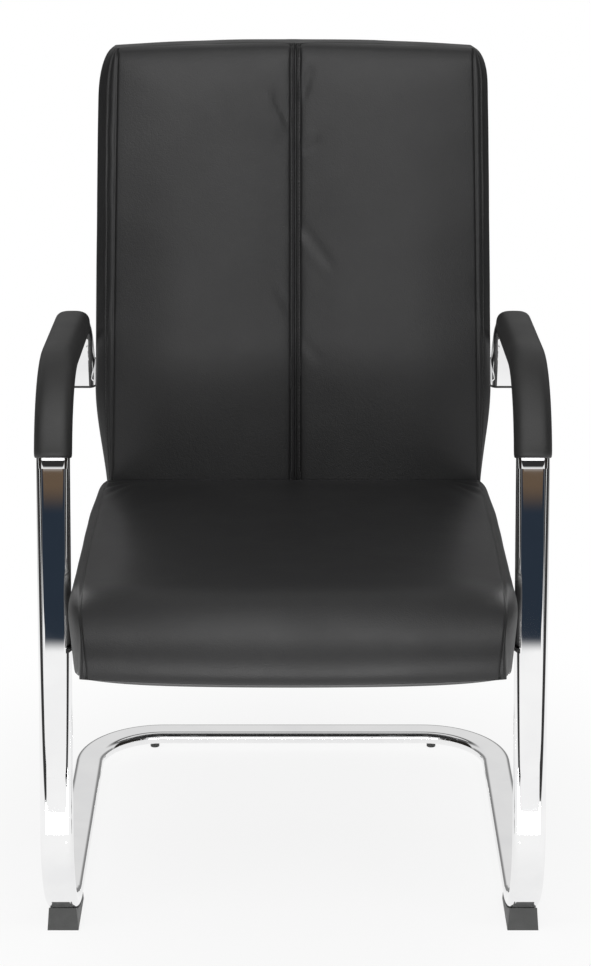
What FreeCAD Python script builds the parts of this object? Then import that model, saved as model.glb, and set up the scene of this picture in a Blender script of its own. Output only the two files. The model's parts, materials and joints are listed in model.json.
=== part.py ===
import FreeCAD, Part
import math
import os
import Sketcher
from FreeCAD import Vector

# Cantilever conference chair. Millimetres and degrees. +Z is up, the sitter faces -Y,
# the origin is on the floor under the middle of the chair.

# Driving sizes
SIZES = {
    # flat-oval frame tube
    "tube_width": 38,
    "tube_depth": 17,
    "tube_wall": 2,
    "frame_spacing": 540,
    "floor_gap": 9,
    "front_bend_y": -134.4,
    "front_bend_radius": 105,
    "leg_lean": 12.2,
    "arm_height": 646,
    "arm_slope": 3.2,
    "arm_bend_radius": 118,
    "tail_bend_radius": 118,
    "tail_drop": 19,
    "rear_bar_y": 323.5,
    "rear_corner_radius": 95,
    "runner_joint_y": 60,
    "sleeve_length": 90,
    "sleeve_wall": 2,
    "fit_gap": 0.3,
    "weld_bite": 2,
    "plug_head": 3,
    "plug_stem": 8,
    # crossbar behind the back
    "crossbar_height": 552,
    "crossbar_rise": 30,
    "crossbar_depth": 15,
    "crossbar_wall": 2,
    "crossbar_pad_gap": 4,
    "crossbar_pad_width": 44,
    "crossbar_bolt_spacing": 220,
    # feet
    "foot_front_y": -200.5,
    "foot_length": 81,
    "foot_width": 36.5,
    "foot_height": 28,
    "foot_draft": 2.2,
    "foot_screw_setback": 62,
    "glide_spacing": 376,
    "glide_diameter": 12,
    "glide_stem_diameter": 8,
    "glide_stem_length": 11,
    # padded arm sleeves
    "arm_pad_top": 11,
    "arm_pad_under": 3,
    "arm_pad_side": 2.5,
    "arm_pad_front_turn": 5.5,
    "arm_pad_rear_turn": 4,
    # seat
    "seat_front_y": -344,
    "seat_front_height": 364,
    "seat_tilt": 3.2,
    "seat_length": 499.5,
    "seat_thickness": 98,
    "seat_crown": 12,
    "seat_seam_width": 460,
    "seat_boxing_bulge": 12,
    "seat_boxing_tuck": 6,
    "seat_front_round": 60,
    "seat_front_drop": 38,
    "seat_front_lift": 26,
    "seat_corner_draw": 20,
    "seat_front_bow": 19,
    "seat_board_thickness": 15,
    "dust_cover_thickness": 1,
    "dust_cover_margin": 22,
    "cover_thickness": 2,
    "seat_bracket_thickness": 5,
    "seat_bracket_rise": 42,
    "seat_bracket_reach": 75,
    "seat_bracket_length": 64,
    "seat_bolt_spacing": 36,
    # back
    "seat_back_gap": 2,
    "back_foot_lift": 13.9,
    "back_lean": 6,
    "back_straight": 240,
    "back_length": 620,
    "back_curve": 6.5,
    "back_top_round": 40,
    "back_depth": 66,
    "back_taper": 20,
    "back_crown": 8,
    "centre_seam_depth": 4,
    "back_seam_width_foot": 464,
    "back_seam_width_top": 430,
    "back_boxing_bulge": 20,
    "back_bulge_start": 80,
    "back_bulge_run": 110,
    "back_rear_tuck": 5,
    "back_foam_depth": 36,
    "back_board_thickness": 12,
    "rear_panel_thickness": 6,
    "board_margin": 4,
    "board_end_margin": 14,
    "bar_slot_gap": 3,
    # bent bars that join seat and back
    "back_bar_spacing": 300,
    "back_bar_width": 40,
    "back_bar_thickness": 6,
    "back_bar_bend_radius": 24,
    "back_bar_reach": 300,
    "back_bar_rise": 190,
    "bar_bolt_spacing": 90,
    "bar_bolt_setback": 60,
    # fasteners
    "bolt_diameter": 8,
    "bolt_head_diameter": 14,
    "bolt_head_height": 4,
    "tee_nut_diameter": 22,
    "tee_nut_flange": 1.5,
    "tee_nut_barrel": 10.5,
    "bolt_clearance": 0.5,
    "screw_diameter": 5,
    "screw_head_diameter": 10,
    "screw_head_height": 3,
    "screw_recess": 2,
    "spacer_diameter": 16,
}

# Places worked out from the driving sizes
PLACES = {
    "side_x": "=frame_spacing / 2",
    "inner_edge_x": "=side_x - tube_width / 2",
    "runner_height": "=floor_gap + tube_depth / 2",
    "leg_foot_y": "=front_bend_y - front_bend_radius * tan((90 + leg_lean) / 2)",
    "arm_corner_height": "=(arm_height - leg_foot_y * tan(arm_slope)"
    " + runner_height * tan(leg_lean) * tan(arm_slope)) / (1 + tan(leg_lean) * tan(arm_slope))",
    "arm_corner_y": "=leg_foot_y + (arm_corner_height - runner_height) * tan(leg_lean)",
    "seat_rear_y": "=seat_front_y + seat_length * cos(seat_tilt)",
    "seat_rear_height": "=seat_front_height - seat_length * sin(seat_tilt)",
    "back_foot_height": "=seat_rear_height + back_foot_lift",
    "back_foot_y": "=seat_rear_y + seat_back_gap / cos(back_lean)"
    " + (back_foot_height - seat_rear_height) * tan(back_lean)",
    "back_curve_radius": "=(back_length - back_straight) / (back_curve * pi / 180)",
    "board_rear": "=back_foam_depth + back_board_thickness",
    "panel_front": "=back_depth - rear_panel_thickness",
    "crossbar_setback": "=back_depth + crossbar_pad_gap + crossbar_depth / 2",
    "crossbar_up": "=(crossbar_height - back_foot_height + crossbar_setback * sin(back_lean))"
    " / cos(back_lean)",
    "crossbar_y": "=back_foot_y + crossbar_up * sin(back_lean) + crossbar_setback * cos(back_lean)",
    "tail_run": "=crossbar_y + tail_bend_radius * sin(arm_slope)",
    "tail_rise": "=crossbar_height - arm_height + tail_bend_radius * cos(arm_slope)",
    "tail_lead": "=tail_run - tail_rise * tan(arm_slope)",
    "tail_start_y": "=(tail_lead - sqrt(tail_lead ^ 2 - (1 + tan(arm_slope) ^ 2)"
    " * (tail_run ^ 2 + tail_rise ^ 2 - tail_bend_radius ^ 2))) / (1 + tan(arm_slope) ^ 2)",
    "tail_start_height": "=arm_height - tail_start_y * tan(arm_slope)",
    "tail_centre_y": "=tail_start_y - tail_bend_radius * sin(arm_slope)",
    "tail_centre_height": "=tail_start_height - tail_bend_radius * cos(arm_slope)",
    "tail_end_turn": "=asin((crossbar_height - tail_drop - tail_centre_height) / tail_bend_radius)"
    " / 1 deg",
    "leg_at_seat_y": "=leg_foot_y + (seat_front_height - runner_height) * tan(leg_lean)",
    "bracket_middle": "=(leg_at_seat_y - seat_front_y) / cos(seat_tilt)",
    "bracket_bolt_x": "=inner_edge_x - seat_bracket_reach * 0.62",
    "bolt_hole": "=bolt_diameter + 2 * bolt_clearance",
    "under_cloth": "=0 - dust_cover_thickness",
    "bar_line": "=under_cloth - back_bar_thickness / 2",
    "bar_setback": "=board_rear + back_bar_thickness / 2",
    "bar_corner_run": "=seat_length + (seat_back_gap + bar_setback) / cos(back_lean - seat_tilt)"
    " + bar_line * tan(back_lean - seat_tilt)",
    "bar_foot": "=back_bar_bend_radius + back_bar_thickness",
    "glide_x": "=glide_spacing / 2",
}

doc = FreeCAD.newDocument("CantileverChair")
sheet = doc.addObject("Spreadsheet::Sheet", "Sizes")
for row, (name, entry) in enumerate({**SIZES, **PLACES}.items(), start=1):
    sheet.set(f"A{row}", name)
    sheet.set(f"B{row}", str(entry))
    sheet.setAlias(f"B{row}", name)
doc.recompute()

nodes = {}
SIDES = {"left": -1, "right": 1}
# Each frame is its place in Y and Z and how far it leans back from upright or level.
FRAMES = {
    "floor": ("0", "0", "0"),
    "seat": ("Sizes.seat_front_y", "Sizes.seat_front_height", "Sizes.seat_tilt"),
    "back": ("Sizes.back_foot_y", "Sizes.back_foot_height", "Sizes.back_lean"),
}


def size(name):
    return float(sheet.get(name))


def place(piece, frame, x="0", along="0", up="0", turn="0"):
    """Bind a piece's placement to a point of a frame, turned about X by the frame's lean."""
    y0, z0, lean = FRAMES[frame]
    y = f"{y0} + ({along}) * cos({lean}) + ({up}) * sin({lean})"
    z = f"{z0} - ({along}) * sin({lean}) + ({up}) * cos({lean})"
    spot = f"create(<<vector>>; {x}; {y}; {z})"
    spin = f"create(<<rotation>>; create(<<vector>>; 1; 0; 0); -({lean}) - ({turn}))"
    piece.setExpression("Placement", f"create(<<placement>>; {spot}; {spin})")
    return piece


def node(label, piece):
    piece.Label = label
    nodes[label] = piece
    return piece


def box(name, frame, x, along, up, width, depth, height):
    piece = doc.addObject("Part::Box", name)
    piece.setExpression("Length", width)
    piece.setExpression("Width", depth)
    piece.setExpression("Height", height)
    return place(piece, frame, x, along, up)


def rod(name, frame, x, along, up, turn, diameter, length):
    piece = doc.addObject("Part::Cylinder", name)
    piece.setExpression("Radius", f"({diameter}) / 2")
    piece.setExpression("Height", length)
    return place(piece, frame, x, along, up, turn)


def solid(name, shape, frame="floor"):
    piece = doc.addObject("Part::Feature", name)
    piece.Shape = shape
    return place(piece, frame)


def group(name, members):
    piece = doc.addObject("Part::Compound", name)
    piece.Links = members
    return piece


def cut(name, base, tools):
    """Take each tool away from a base in turn."""
    for number, tool in enumerate(tools, start=1):
        last = number == len(tools)
        piece = doc.addObject("Part::Cut", name if last else f"{name}_cut_{number}")
        piece.Base = base
        piece.Tool = tool
        base = piece
    return base


def fuse(name, members):
    piece = doc.addObject("Part::MultiFuse", name)
    piece.Shapes = members
    return piece


def line(start, end):
    return Part.LineSegment(start, end).toShape()


def arc(start, middle, end):
    """Arc through three points, or a line where they lie straight."""
    if (middle - start).cross(end - start).Length < 0.0001:
        return line(start, end)
    return Part.Arc(start, middle, end).toShape()


def bent_path(corners, radii):
    """Edges of a path with straight runs and a tangent arc at each inner corner."""
    edges = []
    start = corners[0]
    for before, corner, after, radius in zip(corners, corners[1:], corners[2:], radii):
        back = (before - corner).normalize()
        ahead = (after - corner).normalize()
        half = back.getAngle(ahead) / 2
        run_in = corner + back * (radius / math.tan(half))
        run_out = corner + ahead * (radius / math.tan(half))
        centre_way = (back + ahead).normalize()
        middle = corner + centre_way * (radius / math.sin(half) - radius)
        edges += [line(start, run_in), arc(run_in, middle, run_out)]
        start = run_out
    return edges + [line(start, corners[-1])]


def flat_oval(centre, across, thick, width, depth):
    """Closed flat-oval outline about a point, round at both ends of its width."""
    straight = across * ((width - depth) / 2)
    lift = thick * (depth / 2)
    tip = across * (width / 2)
    a, b = centre - straight - lift, centre + straight - lift
    c, d = centre + straight + lift, centre - straight + lift
    return Part.Wire([line(a, b), arc(b, centre + tip, c), line(c, d), arc(d, centre - tip, a)])


def swept(name, outline, edges):
    """Solid swept from a closed outline along a path."""
    profile = doc.addObject("Part::Feature", name + "_profile")
    profile.Shape = outline
    path = doc.addObject("Part::Feature", name + "_path")
    path.Shape = Part.Wire(edges)
    piece = doc.addObject("Part::Sweep", name)
    piece.Sections = [profile]
    piece.Spine = (path, [f"Edge{number}" for number in range(1, len(edges) + 1)])
    piece.Solid = True
    return piece


def hollow_tube(name, edges, start, across, thick):
    """Flat-oval tube swept along a path, with its bore."""
    wall = size("tube_wall")
    outer = flat_oval(start, across, thick, size("tube_width"), size("tube_depth"))
    bore = flat_oval(start, across, thick, size("tube_width") - 2 * wall, size("tube_depth") - 2 * wall)
    return swept(name + "_outside", outer, edges), swept(name + "_bore", bore, edges)


def on_tail_bend(turn, radius, x):
    """Point on a circle about the tail bend's centre, turn degrees above level."""
    angle = math.radians(turn)
    y = size("tail_centre_y") + radius * math.cos(angle)
    return Vector(x, y, size("tail_centre_height") + radius * math.sin(angle))


def tail_arc(first_turn, last_turn, x):
    radius = size("tail_bend_radius")
    turns = (first_turn, (first_turn + last_turn) / 2, last_turn)
    return arc(*[on_tail_bend(turn, radius, x) for turn in turns])


def side_tube(side, sign):
    """Runner front, front bend, leg, arm bend, arm and tail of one side."""
    x = sign * size("side_x")
    joint = Vector(x, size("runner_joint_y"), size("runner_height"))
    corners = [
        joint,
        Vector(x, size("leg_foot_y"), size("runner_height")),
        Vector(x, size("arm_corner_y"), size("arm_corner_height")),
        Vector(x, size("tail_start_y"), size("tail_start_height")),
    ]
    edges = bent_path(corners, [size("front_bend_radius"), size("arm_bend_radius")])
    edges.append(tail_arc(90 - size("arm_slope"), size("tail_end_turn"), x))
    outside, bore = hollow_tube(f"{side}_side", edges, joint, Vector(1, 0, 0), Vector(0, 0, 1))
    screw_hole = rod(
        f"{side}_screw_hole", "floor", f"{x}", "Sizes.foot_front_y + Sizes.foot_screw_setback", "0", "0",
        "Sizes.screw_diameter + Sizes.fit_gap", "Sizes.runner_height",
    )
    node(f"{side}_side_tube", cut(f"{side}_side_tube", outside, [bore, screw_hole]))


def base_tube():
    """Rear halves of the runners and the floor bar that joins them."""
    x, rear, height = size("side_x"), size("rear_bar_y"), size("runner_height")
    start = Vector(-x, size("runner_joint_y"), height)
    corners = [start, Vector(-x, rear, height), Vector(x, rear, height)]
    corners.append(Vector(x, size("runner_joint_y"), height))
    edges = bent_path(corners, [size("rear_corner_radius")] * 2)
    outside, bore = hollow_tube("base", edges, start, Vector(1, 0, 0), Vector(0, 0, 1))
    holes = [
        rod(
            f"{side}_glide_hole", "floor", f"{sign} * Sizes.glide_x", "Sizes.rear_bar_y", "0", "0",
            "Sizes.glide_stem_diameter + Sizes.fit_gap", "Sizes.runner_height",
        )
        for side, sign in SIDES.items()
    ]
    node("base_tube", cut("base_tube", outside, [bore] + holes))


def slot_sketch(body, name, width, depth):
    """Flat-oval outline about the origin of a body's XZ plane, bound to two sizes."""
    sketch = body.newObject("Sketcher::SketchObject", name)
    plane = [part for part in body.Origin.OriginFeatures if part.Role == "XZ_Plane"]
    sketch.AttachmentSupport = [(plane[0], "")]
    sketch.MapMode = "FlatFace"
    return slot_outline(sketch, width, depth)


def slot_outline(sketch, width, depth):
    half, rise = 10.0, 5.0
    top = sketch.addGeometry(Part.LineSegment(Vector(-half, rise, 0), Vector(half, rise, 0)))
    foot = sketch.addGeometry(Part.LineSegment(Vector(-half, -rise, 0), Vector(half, -rise, 0)))
    circle_right = Part.Circle(Vector(half, 0, 0), Vector(0, 0, 1), rise)
    circle_left = Part.Circle(Vector(-half, 0, 0), Vector(0, 0, 1), rise)
    right = sketch.addGeometry(Part.ArcOfCircle(circle_right, -math.pi / 2, math.pi / 2))
    left = sketch.addGeometry(Part.ArcOfCircle(circle_left, math.pi / 2, 3 * math.pi / 2))
    joins = ((top, 2, right, 2), (right, 1, foot, 2), (foot, 1, left, 2), (left, 1, top, 1))
    for a, a_end, b, b_end in joins:
        sketch.addConstraint(Sketcher.Constraint("Tangent", a, a_end, b, b_end))
    sketch.addConstraint(Sketcher.Constraint("Symmetric", right, 3, left, 3, -1, 1))
    sketch.addConstraint(Sketcher.Constraint("Horizontal", top))
    sketch.addConstraint(Sketcher.Constraint("Equal", right, left))
    spread = sketch.addConstraint(Sketcher.Constraint("DistanceX", left, 3, right, 3, 2 * half))
    radius = sketch.addConstraint(Sketcher.Constraint("Radius", right, rise))
    sketch.setExpression(f"Constraints[{spread}]", f"({width}) - ({depth})")
    sketch.setExpression(f"Constraints[{radius}]", f"({depth}) / 2")
    return sketch


def pad(body, name, sketch, length, reverse=False, middle=False):
    feature = body.newObject("PartDesign::Pad", name)
    feature.Profile = sketch
    feature.Reversed = reverse
    feature.Midplane = middle
    feature.setExpression("Length", length)
    return feature


BORE_WIDTH = "Sizes.tube_width - 2 * Sizes.tube_wall - 2 * Sizes.fit_gap"
BORE_DEPTH = "Sizes.tube_depth - 2 * Sizes.tube_wall - 2 * Sizes.fit_gap"


def runner_sleeve(side, sign):
    """Steel sleeve inside the joint between a side tube and the base tube."""
    body = doc.addObject("PartDesign::Body", f"{side}_runner_sleeve")
    outside = slot_sketch(body, f"{side}_sleeve_outline", BORE_WIDTH, BORE_DEPTH)
    pad(body, f"{side}_sleeve_length", outside, "Sizes.sleeve_length", middle=True)
    inside = slot_sketch(
        body, f"{side}_sleeve_bore", f"{BORE_WIDTH} - 2 * Sizes.sleeve_wall",
        f"{BORE_DEPTH} - 2 * Sizes.sleeve_wall",
    )
    bore = body.newObject("PartDesign::Pocket", f"{side}_sleeve_pocket")
    bore.Profile = inside
    bore.Type = "ThroughAll"
    bore.Midplane = True
    place(body, "floor", f"{sign} * Sizes.side_x", "Sizes.runner_joint_y", "Sizes.runner_height")
    node(f"{side}_runner_sleeve", body)


def tail_plug(side, sign):
    """Plug in the open end of a tail, its stem pointing up into the tube."""
    body = doc.addObject("PartDesign::Body", f"{side}_tail_plug")
    head = slot_sketch(body, f"{side}_plug_outline", "Sizes.tube_width", "Sizes.tube_depth")
    pad(body, f"{side}_plug_head", head, "Sizes.plug_head")
    stem = slot_sketch(body, f"{side}_stem_outline", BORE_WIDTH, BORE_DEPTH)
    pad(body, f"{side}_plug_stem", stem, "Sizes.plug_stem", reverse=True)
    turn = "Sizes.tail_end_turn"
    y = f"Sizes.tail_centre_y + Sizes.tail_bend_radius * cos({turn})"
    z = f"Sizes.tail_centre_height + Sizes.tail_bend_radius * sin({turn})"
    place(body, "floor", f"{sign} * Sizes.side_x", y, z, f"-90 - {turn}")
    node(f"{side}_tail_plug", body)


def back_crossbar():
    """Rectangular tube between the tails, its ends cut to their edges, parallel to the back."""
    end = "Sizes.inner_edge_x + Sizes.weld_bite"
    across = f"2 * ({end})"
    front = "Sizes.back_depth + Sizes.crossbar_pad_gap"
    foot = "Sizes.crossbar_up - Sizes.crossbar_rise / 2"
    wall = "Sizes.crossbar_wall"
    outside = box(
        "crossbar_outside", "back", f"0 - ({end})", front, foot,
        across, "Sizes.crossbar_depth", "Sizes.crossbar_rise",
    )
    bore = box(
        "crossbar_bore", "back", f"0 - ({end})", f"{front} + {wall}", f"{foot} + {wall}",
        across, f"Sizes.crossbar_depth - 2 * {wall}", f"Sizes.crossbar_rise - 2 * {wall}",
    )
    holes = [
        rod(
            f"crossbar_hole_{side}", "back", f"{sign} * Sizes.crossbar_bolt_spacing / 2",
            "Sizes.back_depth", "Sizes.crossbar_up", "90", "Sizes.bolt_hole", "2 * Sizes.crossbar_depth",
        )
        for side, sign in SIDES.items()
    ]
    tails = [doc.getObject(f"{side}_side_outside") for side in SIDES]
    node("back_crossbar", cut("back_crossbar", outside, [bore] + holes + tails))


def foot_block(name, x):
    """Block as long as a foot, drawn in towards its top at both sides and in front."""
    block = doc.addObject("Part::Wedge", name)
    half, front = "Sizes.foot_width / 2", "0 - Sizes.foot_front_y"
    bounds = {
        "Xmin": f"0 - {half}", "Xmax": half, "Ymin": "0", "Ymax": "Sizes.foot_height",
        "Zmin": f"{front} - Sizes.foot_length", "Zmax": front,
        "X2min": f"Sizes.foot_draft - {half}", "X2max": f"{half} - Sizes.foot_draft",
        "Z2min": f"{front} - Sizes.foot_length", "Z2max": f"{front} - Sizes.foot_draft",
    }
    for bound, value in bounds.items():
        block.setExpression(bound, value)
    return place(block, "floor", x, "0", "0", "-90")


def front_foot(side, sign):
    """Block under a front bend, hollowed to the tube's underside, with a screw well."""
    x = f"{sign} * Sizes.side_x"
    block = foot_block(f"{side}_foot_block", x)
    bend = doc.addObject("Part::Cylinder", f"{side}_bend_underside")
    bend.setExpression("Radius", "Sizes.front_bend_radius + Sizes.tube_depth / 2")
    bend.setExpression("Height", "Sizes.foot_width * 2")
    spot = (
        f"create(<<vector>>; {x} - Sizes.foot_width; Sizes.front_bend_y;"
        " Sizes.runner_height + Sizes.front_bend_radius)"
    )
    spin = "create(<<rotation>>; create(<<vector>>; 0; 1; 0); 90)"
    bend.setExpression("Placement", f"create(<<placement>>; {spot}; {spin})")
    runner = box(
        f"{side}_runner_underside", "floor", f"{x} - Sizes.foot_width", "Sizes.front_bend_y",
        "Sizes.floor_gap", "2 * Sizes.foot_width", "Sizes.foot_length", "Sizes.tube_depth",
    )
    screw_y = "Sizes.foot_front_y + Sizes.foot_screw_setback"
    hole = rod(
        f"{side}_foot_hole", "floor", x, screw_y, "0", "0",
        "Sizes.screw_diameter + Sizes.fit_gap", "Sizes.runner_height",
    )
    well = rod(
        f"{side}_foot_well", "floor", x, screw_y, "0", "0",
        "Sizes.screw_head_diameter + Sizes.fit_gap", "Sizes.screw_recess + Sizes.screw_head_height",
    )
    bore = fuse(f"{side}_foot_bore", [hole, well])
    node(f"{side}_front_foot", cut(f"{side}_front_foot", block, [bend, runner, bore]))
    head = rod(
        f"{side}_screw_head", "floor", x, screw_y, "Sizes.screw_recess", "0",
        "Sizes.screw_head_diameter", "Sizes.screw_head_height",
    )
    shank = rod(
        f"{side}_screw_shank", "floor", x, screw_y, "Sizes.screw_recess + Sizes.screw_head_height", "0",
        "Sizes.screw_diameter", "Sizes.runner_height - Sizes.screw_recess - Sizes.screw_head_height",
    )
    return fuse(f"{side}_foot_screw", [head, shank])


def rear_glide(side, sign):
    """Button under the rear floor bar with a stem pushed into the tube."""
    x = f"{sign} * Sizes.glide_x"
    button = rod(
        f"{side}_glide_button", "floor", x, "Sizes.rear_bar_y", "0", "0",
        "Sizes.glide_diameter", "Sizes.floor_gap",
    )
    stem = rod(
        f"{side}_glide_stem", "floor", x, "Sizes.rear_bar_y", "Sizes.floor_gap", "0",
        "Sizes.glide_stem_diameter", "Sizes.glide_stem_length",
    )
    node(f"{side}_rear_glide", fuse(f"{side}_rear_glide", [button, stem]))


def arm_pad(side, sign):
    """Padded sleeve round the arm, thicker on top, from the leg over the arm to the tail."""
    x = sign * size("side_x")
    corner = Vector(x, size("arm_corner_y"), size("arm_corner_height"))
    lean, slope = math.radians(size("leg_lean")), math.radians(size("arm_slope"))
    down_leg = Vector(0, -math.sin(lean), -math.cos(lean))
    along_arm = Vector(0, math.cos(slope), -math.sin(slope))
    radius = size("arm_bend_radius")
    half = down_leg.getAngle(along_arm) / 2
    arm_start = corner + along_arm * (radius / math.tan(half))
    centre = arm_start + Vector(0, -math.sin(slope), -math.cos(slope)) * radius

    def on_bend(turn):
        angle = math.radians(180 + turn) - lean
        return centre + Vector(0, math.cos(angle), math.sin(angle)) * radius

    first = size("arm_pad_front_turn")
    last = math.degrees(slope - lean) + 90
    begin = on_bend(-first)
    edges = [arc(begin, on_bend(-(first + last) / 2), arm_start)]
    edges.append(line(arm_start, Vector(x, size("tail_start_y"), size("tail_start_height"))))
    top_turn = 90 - size("arm_slope")
    edges.append(tail_arc(top_turn, top_turn - size("arm_pad_rear_turn"), x))
    outward = (begin - centre).normalize()
    across = Vector(1, 0, 0)
    top, under = size("arm_pad_top"), size("arm_pad_under")
    width = size("tube_width") + 2 * size("arm_pad_side")
    depth = size("tube_depth") + top + under
    outer = flat_oval(begin + outward * ((top - under) / 2), across, outward, width, depth)
    gap = 2 * size("fit_gap")
    bore = flat_oval(begin, across, outward, size("tube_width") + gap, size("tube_depth") + gap)
    name = f"{side}_arm_pad"
    node(name, cut(name, swept(name + "_outside", outer, edges), [swept(name + "_bore", bore, edges)]))


def seat_section(run, inset, floor, front_share, shear):
    """Closed seat section: flat foot, bulging boxing and a crowned top, bowed forward in plan."""
    ease = 1 - math.sqrt(1 - (1 - front_share) ** 2)
    draw = size("seat_corner_draw") * ease
    crown_up = size("seat_thickness") - size("seat_front_drop") * ease - inset
    seam_up = crown_up - size("seat_crown") * (1 - ease / 2)
    seam = size("seat_seam_width") / 2 - draw - inset
    belly = seam + size("seat_boxing_bulge")
    foot = belly - size("seat_boxing_tuck")
    foot_up = floor + (size("seat_front_lift") + inset) * ease
    middle_up = (foot_up + seam_up) / 2
    bow = size("seat_front_bow") * (1 - run / size("seat_length")) ** 2

    def spot(x, up):
        swing = bow * (x / belly) ** 2
        return Vector(x, run + swing + up * shear, up)

    return [
        arc(spot(-foot, foot_up), spot(0, foot_up), spot(foot, foot_up)),
        arc(spot(foot, foot_up), spot(belly, middle_up), spot(seam, seam_up)),
        arc(spot(seam, seam_up), spot(0, crown_up), spot(-seam, seam_up)),
        arc(spot(-seam, seam_up), spot(-belly, middle_up), spot(-foot, foot_up)),
    ]


def closed_loft(sections, straight=False):
    """Solid through closed sections, smooth or straight between them, with a face at each end."""
    skin = Part.makeLoft([Part.Wire(edges) for edges in sections], False, straight)
    ends = [Part.makeFilledFace(Part.Wire(edges).Edges) for edges in (sections[0], sections[-1])]
    shell = Part.makeShell(skin.Faces + ends)
    shell.sewShape()
    form = Part.Solid(Part.Shell(shell.Faces))
    if form.Volume < 0:
        form.reverse()
    return form


def seat_form(inset, floor):
    """Loft of the seat from its waterfall front to its rear face, which leans with the back."""
    rear_shear = math.tan(math.radians(size("back_lean") - size("seat_tilt")))
    rounding = size("seat_front_round") - inset
    length = size("seat_length")
    sections = []
    for turn in (0, 30, 60, 90):
        share = 1 - math.cos(math.radians(turn))
        sections.append(seat_section(inset + rounding * share, inset, floor, share, 0))
    for share in (0.33, 0.67, 1):
        run = inset + rounding + (length - 2 * inset - rounding) * share
        sections.append(seat_section(run, inset, floor, 1, rear_shear * share))
    return closed_loft(sections)


def seat():
    """Cover, foam, board and dust cloth of the seat."""
    skin = size("cover_thickness")
    core_inset = skin + size("fit_gap")
    outside = solid("seat_outside", seat_form(0, 0), "seat")
    hollow = solid("seat_hollow", seat_form(skin, -skin), "seat")
    below = box(
        "seat_underside", "seat", "0 - Sizes.frame_spacing / 2", "0 - Sizes.seat_length / 2",
        "0 - Sizes.seat_thickness", "Sizes.frame_spacing", "2 * Sizes.seat_length", "Sizes.seat_thickness",
    )
    node("seat_cover", cut("seat_cover", outside, [hollow, below]))
    holes = [
        tee_nut_well(f"seat_{number}", "seat", x, run, "0", "0", "Sizes.seat_board_thickness")
        for number, (x, run) in enumerate(seat_bolt_spots())
    ]
    slab = box(
        "seat_board_slab", "seat", "0 - Sizes.frame_spacing / 2", "0", "0",
        "Sizes.frame_spacing", "2 * Sizes.seat_length", "Sizes.seat_board_thickness",
    )
    board = doc.addObject("Part::Common", "seat_board_blank")
    board.Base = solid("seat_core", seat_form(core_inset, 0), "seat")
    board.Tool = slab
    node("seat_board", cut("seat_board", board, holes))
    foam_cut = box(
        "seat_foam_cut", "seat", "0 - Sizes.frame_spacing / 2", "0 - Sizes.seat_length / 2",
        "0 - Sizes.seat_thickness", "Sizes.frame_spacing", "2 * Sizes.seat_length",
        "Sizes.seat_thickness + Sizes.seat_board_thickness",
    )
    foam = solid("seat_foam_blank", seat_form(core_inset, 0), "seat")
    node("seat_foam", cut("seat_foam", foam, [foam_cut]))
    margin = "Sizes.dust_cover_margin"
    cloth = box(
        "dust_cloth", "seat", f"{margin} - Sizes.seat_seam_width / 2", "Sizes.seat_front_round",
        "Sizes.under_cloth", f"Sizes.seat_seam_width - 2 * {margin}",
        f"Sizes.seat_length - Sizes.seat_front_round - {margin}", "Sizes.dust_cover_thickness",
    )
    cloth_holes = [
        rod(f"cloth_hole_{number}", "seat", x, run, "0 - Sizes.bolt_diameter", "0", "Sizes.bolt_hole",
            "2 * Sizes.bolt_diameter")
        for number, (x, run) in enumerate(seat_bolt_spots())
    ]
    node("seat_dust_cover", cut("seat_dust_cover", cloth, cloth_holes))


def bracket_bolt_spots():
    return [
        (f"{sign} * Sizes.bracket_bolt_x", f"Sizes.bracket_middle + {end} * Sizes.seat_bolt_spacing / 2")
        for sign in SIDES.values()
        for end in (-1, 1)
    ]


def bar_seat_spots():
    first = "Sizes.bar_corner_run - Sizes.back_bar_reach + Sizes.bar_bolt_setback"
    return [
        (f"{sign} * Sizes.back_bar_spacing / 2", f"{first} + {step} * Sizes.bar_bolt_spacing")
        for sign in SIDES.values()
        for step in (0, 1)
    ]


def bar_back_spots():
    first = "Sizes.bar_foot + Sizes.bar_bolt_setback / 2"
    return [
        (f"{sign} * Sizes.back_bar_spacing / 2", f"{first} + {step} * Sizes.bar_bolt_spacing")
        for sign in SIDES.values()
        for step in (0, 1)
    ]


def crossbar_spots():
    return [(f"{sign} * Sizes.crossbar_bolt_spacing / 2", "Sizes.crossbar_up") for sign in SIDES.values()]


def seat_bolt_spots():
    return bracket_bolt_spots() + bar_seat_spots()


def ahead(along, up, turn, distance):
    """Place a distance along a fastener's axis, which points up or, turned, forward."""
    if turn == "0":
        return along, f"{up} + {distance}"
    return f"{along} - ({distance})", up


def tee_nut_well(name, frame, x, along, up, turn, depth):
    """Cut for a barrel nut whose flange lies flush in the far face of a board."""
    gap = "Sizes.fit_gap"
    hole = rod(f"{name}_barrel_hole", frame, x, along, up, turn, f"Sizes.tee_nut_barrel + {gap}", depth)
    far = ahead(along, up, turn, f"{depth} - Sizes.tee_nut_flange")
    flange = rod(
        f"{name}_flange_well", frame, x, far[0], far[1], turn,
        f"Sizes.tee_nut_diameter + {gap}", "Sizes.tee_nut_flange",
    )
    return fuse(f"{name}_nut_well", [hole, flange])


def tee_nut(name, frame, x, along, up, turn, depth):
    """Barrel nut pressed into a board, starting at the board's near face."""
    barrel = rod(f"{name}_barrel", frame, x, along, up, turn, "Sizes.tee_nut_barrel", depth)
    far = ahead(along, up, turn, f"{depth} - Sizes.tee_nut_flange")
    flange = rod(
        f"{name}_flange", frame, x, far[0], far[1], turn,
        "Sizes.tee_nut_diameter", "Sizes.tee_nut_flange",
    )
    thread = rod(
        f"{name}_thread", frame, x, along, up, turn, "Sizes.bolt_diameter + Sizes.fit_gap", depth,
    )
    return cut(name, fuse(f"{name}_blank", [barrel, flange]), [thread])


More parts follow.
